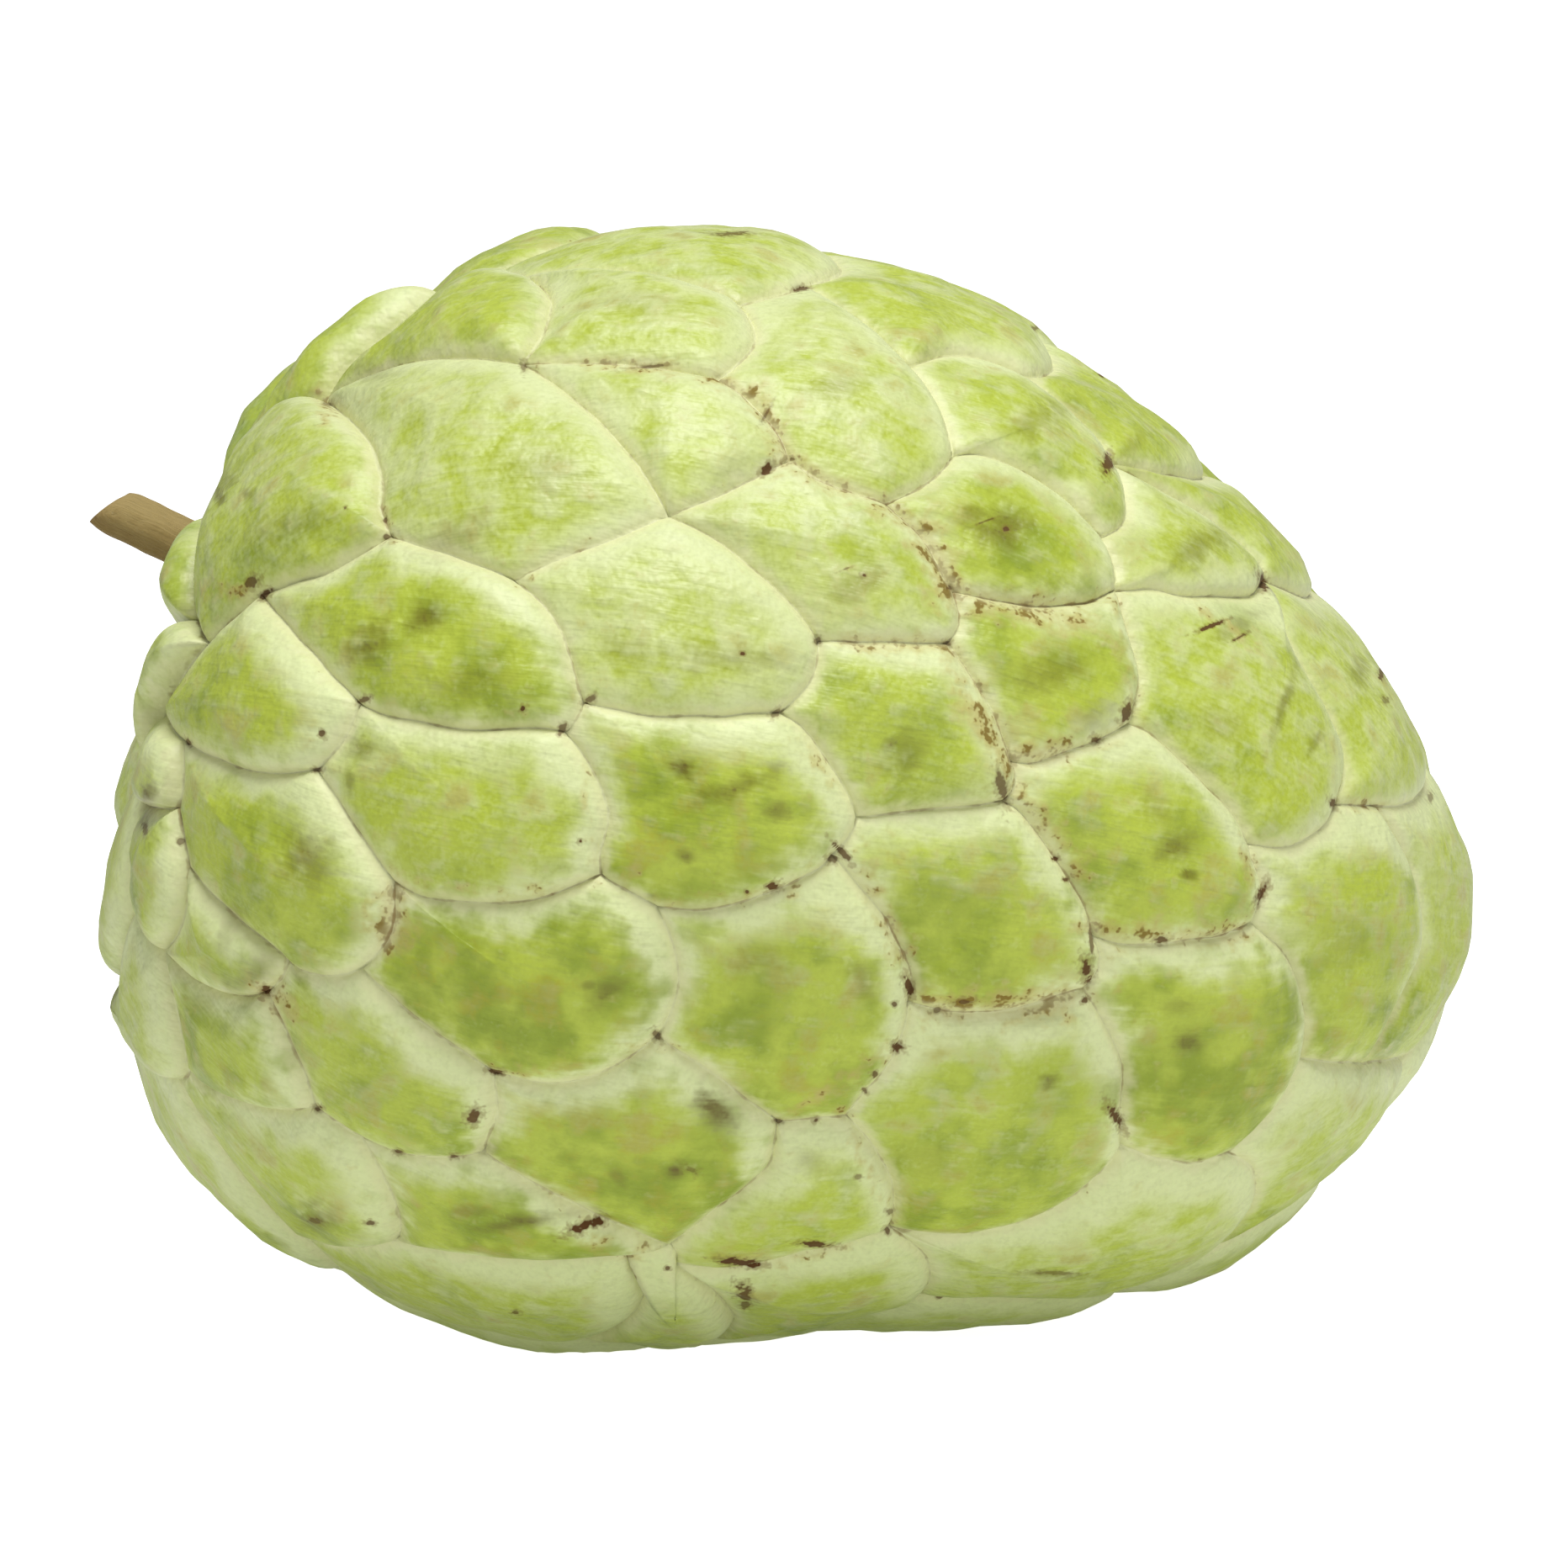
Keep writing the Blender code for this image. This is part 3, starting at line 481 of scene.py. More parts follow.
# %% Close the seams that are too short
def close_short_seams(shortest=2.0 * MM):
    """Joins the two ends of every hidden seam that would be too short to see."""
    by_pair = {}
    for triple in corner_of:
        for a, b in ((0, 1), (1, 2), (2, 0)):
            by_pair.setdefault(frozenset((triple[a], triple[b])), []).append(triple)
    for first, second in by_pair.values():
        p, q = corner_of[first], corner_of[second]
        if p == q:
            continue
        length = np.linalg.norm(points[p] - points[q]) * body_radius(points[p][None, :])[0]
        if length > shortest or (isinstance(p, str) and isinstance(q, str)):
            continue
        keep, drop = (p, q) if isinstance(p, str) else (q, p)
        if not isinstance(keep, str):
            points[keep] = unit(points[keep] + points[drop])
        for triple, corner in corner_of.items():
            if corner == drop:
                corner_of[triple] = keep


close_short_seams()
print(len(set(corner_of.values())), "meeting points are left")


# %% Walk round each scale
def walk_cell(k):
    """A scale's corners in order, each with the scale beyond the seam that follows it."""
    around = [t for t in corner_of if k in t]
    middle = unit(sum(sites[j] for t in around for j in t))
    side = unit(np.cross(middle, points[corner_of[around[0]]]))
    other = np.cross(middle, side)

    def bearing(index):
        away = sites[index] - sites[k]
        return math.atan2(away @ other, away @ side)

    neighbours = sorted({j for t in around for j in t if j != k}, key=bearing)
    corners = []
    for here, after in zip(neighbours, neighbours[1:] + neighbours[:1]):
        triple = next(t for t in around if here in t and after in t)
        corners.append((corner_of[triple], after))
    return [c for n, c in enumerate(corners) if c[0] != corners[(n + 1) % len(corners)][0]]


cells = [walk_cell(k) for k in range(len(names))]
print("a scale has", round(sum(map(len, cells)) / len(cells), 1), "neighbours on average")

# %% [markdown]
# ## Seams as lines
#
# A seam isn't straight. A scale's free edge points to the tip, so a seam that runs across the fruit
# bulges that way, and one that runs along the fruit is nearly straight. Small waves are added on top,
# because a grown seam wanders. Each seam is made once and used by both of its scales, so that they share
# the same points.

# %% Bowed seams
SEAM_BOW = 0.20
SEAM_STEP = 1.1 * MM


def bowed_seam(start, end, via, step):
    """Directions between two corners, bulging towards the tip or through given points."""
    corners = [start, *via, end]
    length = sum(np.linalg.norm(q - p) for p, q in zip(corners, corners[1:]))
    count = max(1, math.ceil(length * body_radius(start[None, :])[0] / step))
    share = np.arange(1, count) / count
    if len(via):
        knots = np.array([2 * start - corners[1], *corners, 2 * end - corners[-2]])
        along = share * (len(corners) - 1)
        k = np.minimum(along.astype(int), len(corners) - 2)
        t = (along - k)[:, None]
        p0, p1, p2, p3 = knots[k], knots[k + 1], knots[k + 2], knots[k + 3]
        path = 0.5 * (2 * p1 + (p2 - p0) * t + (2 * p0 - 5 * p1 + 4 * p2 - p3) * t ** 2
                      + (3 * p1 - p0 - 3 * p2 + p3) * t ** 3)
        return unit(path)
    middle = unit(start + end)
    forth = TIP - (TIP @ middle) * middle
    run = unit(end - start)
    forth = unit(forth) if np.linalg.norm(forth) > 1e-6 else np.zeros(3)
    bow = SEAM_BOW * length * (1 - abs(forth @ run)) * 4 * share * (1 - share)
    return unit(start + (end - start) * share[:, None] + bow[:, None] * forth)


# %% Waves in the seams
SEAM_WAVE = 0.22 * MM
WAVE_LENGTH = 3.2 * MM
WAVE_FADE = 5            # the waves die out over a fifth of the seam at each end


def smooth_noise(places, size, seed=0.0):
    """A soft random value from -1 to 1 for every place, with bumps of the given size."""
    shift = Vector((seed, seed * 1.7, -seed))
    return np.array([noise.noise(Vector(p) / size + shift) for p in places])


def waved(path):
    """A seam with small waves that die out at its ends."""
    if len(path) < 3:
        return path
    places = CENTRE + path * body_radius(path)[:, None]
    share = (np.arange(len(path)) + 1) / (len(path) + 1)
    fade = np.minimum(1.0, WAVE_FADE * np.minimum(share, 1 - share))
    run = unit(path[-1] - path[0])
    side = unit(np.cross(path, run))
    push = SEAM_WAVE * fade * smooth_noise(places, WAVE_LENGTH, 3.0)
    return unit(places + push[:, None] * side - CENTRE)


# %% [markdown]
# ## The swelling of a scale
#
# Near the stem the scales are round knobs that stand out by up to 7.8 mm. Over the rest of the fruit they
# are low, about 1.7 mm, and flatter, with a soft shoulder along the seam. A scale falls off late and
# steeply on the side of the tip and early and gently on the side of the stem, as roof tiles do.
#
# The surface of one scale is a fan: rings at growing shares of the way from the crest to the seam. The
# rings lie close together near the seam, where the surface bends most.

# %% Height over the seams
LOBE_HEIGHT = 7.8 * MM
SCALE_HEIGHT = 1.7 * MM
CREST_SHIFT = 0.16       # towards the tip, as a share of the scale's reach
STEEPNESS = 3.0
KNOB_STEEPNESS = 2.2
TIP_STEEPNESS = 1.6
ROUNDNESS = 0.80
KNOB_ROUNDNESS = 0.55
PIT_DEPTH = 0.5 * MM
RINGS = (0.0, 0.11, 0.22, 0.33, 0.44, 0.54, 0.63, 0.71, 0.78, 0.84, 0.89, 0.93, 0.96, 0.983, 1.0)


def swelling(share, crest, steepness, knob):
    """Height at a share of the way from crest to seam: a dome on the knobs, a low tile elsewhere."""
    return crest * (1 - share ** steepness) ** (ROUNDNESS + (KNOB_ROUNDNESS - ROUNDNESS) * knob)


# %% Small relief
# Three kinds of unevenness lie on top of the swelling. Broad soft dents come from neighbours that pressed
# on each other. A crease follows each seam. Low ripples run over the whole skin.
CREASE_DEPTH = 0.12 * MM
KNOB_CREASE = 0.30 * MM
CREASE_WIDTH = 0.45
DENT_DEPTH = 0.38 * MM
DENT_SIZE = 6.5 * MM
SMALL_DENT_SIZE = 3.1 * MM
SMALL_DENT_SHARE = 0.5
KNOB_DENTS = 0.4         # how much deeper the knobs' dents are
RIPPLE_DEPTH = 0.07 * MM
RIPPLE_SIZE = 1.5 * MM
SEAM_FADE = 1.8          # in millimetres, as CREASE_WIDTH is


def crease_depth(knob):
    """Shallow between the flat scales, deeper between the knobs."""
    return CREASE_DEPTH + KNOB_CREASE * knob


def small_relief(places, seam_mm, knob):
    """Height of the unevenness at each place."""
    inner = 1 - np.exp(-(seam_mm / SEAM_FADE) ** 2)
    broad = smooth_noise(places, DENT_SIZE, 11.0)
    broad = broad + SMALL_DENT_SHARE * smooth_noise(places, SMALL_DENT_SIZE, 5.0)
    ripple = smooth_noise(places, RIPPLE_SIZE, 7.0)
    crease = np.exp(-(seam_mm / CREASE_WIDTH) ** 2)
    return DENT_DEPTH * inner * broad * (1 + KNOB_DENTS * knob) + RIPPLE_DEPTH * ripple * inner \
        - crease_depth(knob) * crease


# %% [markdown]
# ## Dimples in the seen scales
#
# Many scales have a dimple where the flower's style once stood. Those that the photograph shows are
# listed with their pixel, width and depth in millimetres. On the far side a few scales get one at random,
# always the same ones.

# %% Dimples
DIMPLES = [
    (810, 915, 1.7, 0.55), (1190, 628, 2.2, 0.5), (1015, 680, 1.8, 0.4), (850, 1335, 2.6, 0.5),
    (720, 1180, 2.6, 0.4), (905, 1150, 3.0, 0.4), (1410, 1240, 2.6, 0.35), (1395, 1005, 2.4, 0.35),
    (265, 592, 1.8, 0.5), (512, 735, 2.2, 0.45), (1075, 880, 2.2, 0.35), (1262, 800, 2.4, 0.4),
    (1150, 1080, 2.6, 0.35), (1245, 1280, 3.0, 0.3), (380, 1448, 2.0, 0.5), (180, 945, 1.6, 0.5),
    (345, 985, 2.6, 0.4), (300, 1160, 2.6, 0.4), (1468, 740, 2.4, 0.4),
]
DIMPLED_SHARE = 0.55      # of the hidden scales
DIMPLE_SPOTS = cast([(x, y) for x, y, _, _ in DIMPLES], seam_radius)
chance = random.Random(8)
hidden_dimples = [k for k, name in enumerate(names)
                  if name.startswith("hidden") and chance.random() < DIMPLED_SHARE]
spots = np.vstack([DIMPLE_SPOTS, sites[hidden_dimples]])
sizes = [(w, d) for _, _, w, d in DIMPLES] + [(chance.uniform(1.6, 2.8), chance.uniform(0.25, 0.5))
                                               for _ in hidden_dimples]
dimple_places = CENTRE + spots * body_radius(spots)[:, None]
dimple_width, dimple_depth = np.array(sizes).T * MM
print(len(DIMPLES), "seen dimples and", len(hidden_dimples), "hidden ones")


def dimples(places):
    """Depth and closeness of the nearest dimples at each place."""
    apart = np.linalg.norm(places[:, None, :] - dimple_places[None, :, :], axis=2)
    near = np.exp(-(apart / dimple_width) ** 2)
    return (near * dimple_depth).sum(axis=1), near.max(axis=1)


# %% [markdown]
# ## The skin as one mesh
#
# The corners and seams are shared, so the skin closes by itself. For every point the distance to the
# nearest seam is stored in millimetres. Each corner of each face also keeps its place on its own scale:
# how far it lies towards the tip, how far to the side, and how green the scale is painted, partly as
# painted light on the upper scales. The nodes will read these values, and they stay sharp at the seams
# because neighbouring faces keep their own.

# %% Points of the skin
vertices = []
seam_values = []
inner_values = []
corner_index = {}
seam_index = {}


def add_points(places, seam_mm, inner=None):
    """Adds points to the skin and returns their numbers."""
    first = len(vertices)
    vertices.extend(places)
    seam_values.extend(seam_mm)
    inner_values.extend([0.0] * len(places) if inner is None else inner)
    return list(range(first, len(vertices)))


def on_seams(directions, height):
    """Places at a height over the seams."""
    return CENTRE + directions * (seam_radius(directions) + height)[:, None]


def corner_point(key):
    """The number of a meeting point's place, sunk into a small pit."""
    if key not in corner_index:
        place = on_seams(points[key][None, :], -PIT_DEPTH)
        corner_index[key] = add_points(place, [0.0])[0]
    return corner_index[key]


# %% Seams of one scale
BEND_SPOTS = {frozenset(key.split()): cast(pixels, seam_radius) for key, pixels in BENDS.items()}


def seam(p, q, k, j):
    """Directions and numbers of the points on the seam between scales k and j, from corner p to q."""
    if (q, p) in seam_index:
        directions, numbers = seam_index[(q, p)]
        return directions[::-1], numbers[::-1]
    if (p, q) not in seam_index:
        start, end = points[p], points[q]
        via = list(BEND_SPOTS.get(frozenset((names[k], names[j])), ()))
        if via and np.linalg.norm(via[0] - start) > np.linalg.norm(via[0] - end):
            via = via[::-1]
        path = waved(bowed_seam(start, end, via, SEAM_STEP))
        numbers = []
        if len(path):
            numbers = add_points(on_seams(path, -crease_depth(knobbiness(path))), [0.0] * len(path))
        seam_index[(p, q)] = (path, numbers)
    return seam_index[(p, q)]


def rim_of(k):
    """Directions and numbers of all points round a scale."""
    directions, numbers = [], []
    for (p, beyond), (q, _) in zip(cells[k], cells[k][1:] + cells[k][:1]):
        path, on_path = seam(p, q, k, beyond)
        directions += [points[p], *path]
        numbers += [corner_point(p), *on_path]
    return np.array(directions), numbers


# %% Distance to the seams
def distance_to_rim(places, rim):
    """Distance in millimetres from places to a closed line of points."""
    start, end = rim, np.roll(rim, -1, axis=0)
    run = end - start
    reach = np.einsum("nij,ij->ni", places[:, None, :] - start[None], run)
    reach /= np.maximum((run ** 2).sum(1), 1e-12)
    foot = start[None] + np.clip(reach, 0, 1)[..., None] * run[None]
    return np.linalg.norm(places[:, None, :] - foot, axis=2).min(axis=1) / MM


# %% Build every scale
# How green each seen scale is painted, from 0 for milky to 1 for deep green. The values are partly each
# scale's own tone and partly painted light: the upper scales get paler values as painted light from
# above.
# The far side gets random values.
TONES_AND_TOP_LIGHT = {
    "a": 0.15, "c": 0.45, "d": 0.6, "e": 0.5, "f": 0.6, "g": 0.6, "h": 0.6, "i": 0.65, "j": 0.7,
    "k": 0.85, "l": 0.5, "n": 0.0, "o": 0.05, "p": 0.6, "q": 0.05, "r": 0.45, "s": 0.85, "t": 1.0,
    "u": 0.75, "v": 0.65, "w": 0.95, "x": 0.1, "y": 0.05, "z": 0.25, "aa": 0.6, "bb": 0.4, "cc": 0.5,
    "dd": 0.65, "ee": 0.7, "ff": 0.65, "gg": 0.65, "hh": 0.9, "ii": 0.3, "jj": 0.3, "kk1": 0.4,
    "kk2": 0.4, "ll": 0.2, "mm": 0.65, "nn": 0.45, "oo": 0.5, "pp": 0.35, "qq": 0.35, "rr": 0.95,
    "ss": 0.55, "tt": 0.4, "tt2": 0.5, "uu": 0.5, "uu2": 0.5, "vv": 0.3, "ww": 0.1,
}
DIMPLE_FADE = 1.2        # millimetres from a seam within which a dimple dies out
faces = []
face_places = []
crests = {name: cast(pixel, seam_radius)[0] for name, pixel in CRESTS.items()}
chance = random.Random(3)


def build_scale(k):
    """Adds one scale: its rings, its faces, and the place of every face corner on the scale."""
    rim, rim_numbers = rim_of(k)
    middle = crests.get(names[k], unit(rim.sum(axis=0)))
    reach = np.linalg.norm(rim - middle, axis=1).mean()
    forth = unit(TIP - (TIP @ middle) * middle)
    middle = unit(middle + CREST_SHIFT * reach * forth)
    across = np.cross(middle, forth)
    knob = float(knobbiness(middle[None, :])[0])
    crest = SCALE_HEIGHT + (LOBE_HEIGHT - SCALE_HEIGHT) * knob
    lean = TIP_STEEPNESS * (unit(rim - middle) @ forth)
    steepness = STEEPNESS + (KNOB_STEEPNESS - STEEPNESS) * knob + lean
    rim_places = on_seams(rim, np.zeros(len(rim)))
    shares = np.array(RINGS[1:-1])
    spots = unit(middle + (rim - middle)[None, :, :] * shares[:, None, None]).reshape(-1, 3)
    spots = np.vstack([middle[None, :], spots])
    domed = swelling(shares[:, None], crest, steepness[None, :], knob)
    heights = np.concatenate([[crest], domed.ravel()])
    flat_places = on_seams(spots, np.zeros(len(spots)))
    seam_mm = distance_to_rim(flat_places, rim_places)
    depth, _ = dimples(flat_places)
    fade = 1 - np.exp(-(seam_mm / DIMPLE_FADE) ** 2)
    heights = heights + small_relief(flat_places, seam_mm, knob) - depth * fade
    inner = np.concatenate([[1.0], np.repeat(1 - shares, len(rim))])
    numbers = add_points(on_seams(spots, heights), seam_mm, inner)
    rows = [numbers[1 + r * len(rim):1 + (r + 1) * len(rim)] for r in range(len(shares))] + [rim_numbers]
    all_spots = np.vstack([spots, rim])
    all_numbers = numbers + rim_numbers
    local = {n: ((d - middle) @ forth, (d - middle) @ across) for n, d in zip(all_numbers, all_spots)}
    size = float(body_radius(middle[None, :])[0]) / MM
    shade = TONES_AND_TOP_LIGHT.get(names[k], chance.uniform(0.2, 0.8))
    for n in range(len(rim)):
        after = (n + 1) % len(rim)
        fan = [(numbers[0], rows[0][n], rows[0][after])]
        for inner, outer in zip(rows, rows[1:]):
            fan += [(inner[n], outer[n], outer[after]), (inner[n], outer[after], inner[after])]
        for face in fan:
            faces.append(face)
            face_places.append([(local[i][0] * size, local[i][1] * size, shade) for i in face])


stem_cell = names.index("stem")
for k in range(len(names)):
    if k != stem_cell:
        build_scale(k)
print(len(vertices), "points and", len(faces), "faces on the scales")

# %% [markdown]
# ## Round the stem
#
# The stem's own cell has no scale. Skin runs from its seam down to the mouth of a small socket, so the
# stem can be seen to come out of the fruit and the skin stays closed.

# %% The socket
SOCKET_RADIUS = 3.0 * MM
SOCKET_DEPTH = 2.6 * MM
STEM_CUT_PIXEL = (131, 604)
STEM_DRIFT = 2.0 * MM
MOUTH_SEAM_MM = 0.2       # the mouth's skin counts as this close to a seam

sight = sight_directions(STEM_CUT_PIXEL)[0]
cut_depth = VIEW_DISTANCE + (STEM_ROOT - CENTRE) @ FORWARD + STEM_DRIFT
STEM_CUT = EYE + sight * cut_depth / (sight @ FORWARD)
STEM_AXIS = unit(STEM_CUT - STEM_ROOT)
STEM_LENGTH = np.linalg.norm(STEM_CUT - STEM_ROOT)
STEM_SIDE = unit(np.cross(STEM_AXIS, UP))
STEM_HIGH = np.cross(STEM_SIDE, STEM_AXIS)


def close_socket():
    """Faces from the seam of the stem's cell to the socket's mouth, down its wall and over its floor."""
    _, rim_numbers = rim_of(stem_cell)
    away = np.array([vertices[i] for i in rim_numbers]) - STEM_ROOT
    bearings = np.unwrap(np.arctan2(away @ STEM_HIGH, away @ STEM_SIDE))
    count = len(rim_numbers)
    way = 1.0 if bearings[-1] > bearings[0] else -1.0
    first = np.mean(bearings - way * 2 * math.pi * np.arange(count) / count)
    even = first + way * 2 * math.pi * np.arange(count) / count
    ring = np.cos(even)[:, None] * STEM_SIDE + np.sin(even)[:, None] * STEM_HIGH
    mouth = add_points(STEM_ROOT + SOCKET_RADIUS * ring, [MOUTH_SEAM_MM] * count)
    foot = add_points(STEM_ROOT - SOCKET_DEPTH * STEM_AXIS + SOCKET_RADIUS * ring, [0.0] * count)
    floor = add_points([STEM_ROOT - SOCKET_DEPTH * STEM_AXIS], [0.0])[0]
    for n in range(count):
        after = (n + 1) % count
        for inner, outer in ((mouth, rim_numbers), (foot, mouth)):
            faces.append((inner[n], outer[n], outer[after]))
            faces.append((inner[n], outer[after], inner[after]))
        faces.append((floor, foot[n], foot[after]))
    face_places.extend([[(0.0, 0.0, 0.5)] * 3] * (5 * count))


close_socket()
print("stem", round(STEM_LENGTH / MM, 1), "mm long;", len(faces), "faces in all")

# %% [markdown]
# ## Scars, cork and stains
#
# A real skin tells a story: black scars where scales split apart, brown cork along some seams, and soft
# darker stains inside the scales. Each one that the photograph shows is listed with its pixel, length,
# width and turn. Every face of the mesh then keeps its place in the nearest mark, in units of the mark's
# own size. A value below one is inside. The nodes only have to turn that into colour, so a mark is sharp
# however coarse the mesh is.

# %% Scars, as pixel x, pixel y, length, width, degrees, darkness
SCARS = [
    (387, 478, 16, 9, 60, 0.6), (622, 436, 16, 9, 80, 0.6), (775, 436, 52, 5, -7, 0.65),
    (911, 492, 28, 6, -62, 0.6), (942, 545, 8, 6, 0, 0.6), (911, 559, 20, 11, -50, 0.95),
    (953, 341, 26, 9, -20, 0.85), (1317, 551, 28, 16, -70, 0.9), (1501, 690, 26, 15, 70, 0.9),
    (1440, 744, 40, 6, -22, 0.95), (1472, 758, 26, 5, -28, 0.8), (1195, 630, 9, 8, 0, 0.9),
    (1172, 620, 26, 3, -22, 0.6), (1027, 684, 9, 7, 0, 0.9), (1006, 677, 22, 3, -22, 0.55),
    (1340, 845, 26, 13, -65, 0.85), (1302, 880, 14, 11, 0, 0.8), (1190, 935, 44, 15, 80, 0.75),
    (1585, 956, 17, 11, 60, 0.85), (1500, 1062, 28, 12, -60, 0.95), (1381, 1117, 18, 10, 0, 0.85),
    (1290, 1152, 36, 17, 80, 0.95), (1296, 1118, 34, 5, 85, 0.7), (1290, 1188, 10, 9, 0, 0.85),
    (1254, 1020, 9, 8, 0, 0.95), (1267, 1046, 9, 7, 0, 0.9), (1080, 1173, 28, 12, 75, 0.95),
    (1062, 1193, 9, 8, 0, 0.8), (1067, 1244, 18, 14, 0, 0.95), (1040, 1278, 9, 9, 0, 0.8),
    (1028, 1296, 11, 7, 60, 0.7), (970, 1331, 9, 8, 0, 0.85), (925, 1333, 12, 6, 0, 0.7),
    (1145, 1190, 28, 9, -5, 0.85), (1113, 1200, 12, 8, 0, 0.6), (920, 1053, 17, 12, -20, 0.95),
    (888, 1060, 6, 6, 0, 0.9), (691, 1000, 9, 9, 0, 0.95), (623, 843, 9, 9, 0, 0.95),
    (882, 778, 7, 6, 0, 0.95), (781, 1232, 18, 9, 60, 0.7), (588, 1274, 20, 9, 10, 0.9),
    (564, 1327, 22, 17, -60, 0.9), (474, 1369, 14, 9, 0, 0.85), (541, 1374, 15, 9, 0, 0.85),
    (695, 1456, 46, 14, -20, 1.0), (880, 1500, 58, 13, 8, 1.0), (972, 1479, 48, 9, 8, 0.95),
    (885, 1538, 32, 20, 65, 0.85), (885, 1552, 16, 14, 0, 0.7), (1324, 1326, 40, 13, 58, 0.95),
    (1000, 1012, 32, 8, 48, 0.8), (990, 1020, 15, 12, 0, 0.7), (700, 832, 18, 10, -30, 0.7),
    (669, 866, 18, 9, -60, 0.7), (430, 833, 20, 8, -25, 0.75), (384, 872, 12, 8, 30, 0.85),
    (376, 915, 14, 8, 0, 0.7), (315, 706, 20, 10, -45, 0.9), (300, 692, 26, 14, -40, 0.8),
    (375, 1450, 26, 10, 0, 0.6), (440, 1452, 13, 8, 0, 0.8), (459, 638, 11, 8, 0, 0.7),
    (457, 618, 9, 6, 80, 0.7), (412, 605, 6, 6, 0, 0.7), (922, 848, 14, 9, -40, 0.6),
    (972, 762, 9, 9, 0, 0.6), (1125, 765, 12, 9, 0, 0.7), (1127, 700, 10, 9, 0, 0.7),
    (315, 1177, 12, 12, 0, 0.95), (378, 1318, 12, 9, 0, 0.8), (1258, 1512, 60, 6, 4, 0.45),
    (1118, 1544, 8, 6, 0, 0.7), (794, 1507, 7, 7, 0, 0.8), (614, 1558, 12, 8, 0, 0.7),
    (870, 281, 52, 9, -2, 0.7), (1232, 385, 30, 8, -25, 0.6), (1310, 446, 34, 10, -35, 0.8),
    (1640, 800, 70, 10, -58, 0.8), (1703, 948, 16, 9, -60, 0.5), (1645, 833, 12, 10, 0, 0.5),
    (222, 882, 12, 8, 40, 0.8), (214, 1000, 10, 8, 0, 0.6), (173, 985, 22, 10, 60, 0.6),
    (250, 600, 10, 8, 0, 0.5), (265, 590, 24, 7, 80, 0.55), (1055, 1463, 14, 10, 60, 0.8),
    (1058, 1440, 10, 8, 0, 0.6), (1020, 1398, 9, 7, 0, 0.5), (1425, 1378, 12, 7, 0, 0.45),
    (822, 1389, 26, 12, 30, 0.45),
]
print(len(SCARS), "scars")

# %% Stains, as pixel x, pixel y, length, width, degrees, darkness
STAINS = [
    (849, 1315, 66, 44, 40, 1.0), (804, 1389, 30, 24, 0, 0.9), (735, 1397, 34, 18, 60, 0.5),
    (578, 1366, 30, 20, 0, 0.6), (720, 1180, 70, 34, -35, 0.7), (700, 1172, 24, 14, 0, 0.6),
    (900, 1140, 90, 40, 0, 0.35), (1025, 1165, 60, 40, 60, 0.5), (812, 914, 44, 28, 20, 0.9),
    (880, 935, 120, 34, -22, 0.7), (925, 962, 34, 26, 0, 0.7), (815, 1018, 28, 20, 0, 0.7),
    (775, 1065, 18, 12, 0, 0.5), (1395, 1005, 60, 40, -30, 0.7), (1410, 1040, 26, 20, 0, 0.8),
    (1370, 960, 60, 40, 20, 0.4), (1410, 1240, 40, 34, 0, 0.8), (1400, 1195, 50, 26, 0, 0.4),
    (1245, 1285, 30, 26, 0, 0.8), (1240, 1210, 90, 34, 0, 0.45), (1075, 900, 70, 50, -50, 0.5),
    (1060, 885, 30, 20, -40, 0.6), (1190, 628, 90, 60, -20, 0.75), (1160, 612, 60, 30, 0, 0.6),
    (1015, 700, 110, 50, -30, 0.4), (870, 782, 170, 36, 4, 0.45), (745, 770, 60, 40, 0, 0.3),
    (1245, 800, 110, 60, -20, 0.5), (1300, 850, 60, 40, -30, 0.45), (1425, 650, 110, 44, -30, 0.5),
    (1470, 745, 90, 30, -30, 0.5), (1525, 838, 120, 16, -68, 0.6), (1562, 885, 40, 14, -60, 0.5),
    (505, 735, 60, 40, -30, 0.8), (440, 765, 70, 50, -40, 0.7), (560, 810, 120, 50, -10, 0.35),
    (430, 890, 50, 34, 20, 0.6), (415, 930, 16, 40, 0, 0.6), (265, 590, 40, 20, 60, 0.8),
    (300, 590, 24, 18, 0, 0.6), (250, 560, 70, 40, 40, 0.45), (345, 625, 120, 44, -15, 0.35),
    (175, 955, 34, 60, 20, 0.9), (200, 925, 26, 40, 0, 0.4), (370, 1020, 90, 70, -50, 0.6),
    (390, 1000, 34, 24, 0, 0.5), (300, 1160, 70, 40, -30, 0.6), (275, 1100, 60, 30, -60, 0.4),
    (625, 1450, 150, 22, -10, 0.8), (560, 1440, 60, 20, 0, 0.5), (380, 1448, 70, 40, -20, 0.6),
    (375, 1430, 40, 20, 0, 0.5), (1250, 1515, 110, 16, 4, 0.5), (960, 1380, 60, 30, 30, 0.3),
    (1100, 1380, 130, 60, 10, 0.25), (870, 560, 90, 40, -25, 0.3), (1235, 500, 120, 50, -30, 0.4),
    (1345, 530, 70, 24, -40, 0.3), (540, 640, 110, 50, -20, 0.4), (640, 560, 120, 60, 10, 0.25),
    (440, 440, 80, 40, 10, 0.4), (990, 460, 80, 40, -15, 0.35), (760, 360, 120, 40, 5, 0.25),
    (1615, 800, 50, 40, -60, 0.5), (1600, 1120, 60, 90, 0, 0.25), (860, 620, 90, 50, 0, 0.2),
    (1450, 860, 70, 50, 30, 0.3), (1330, 1290, 60, 40, 0, 0.2),
]
print(len(STAINS), "stains")

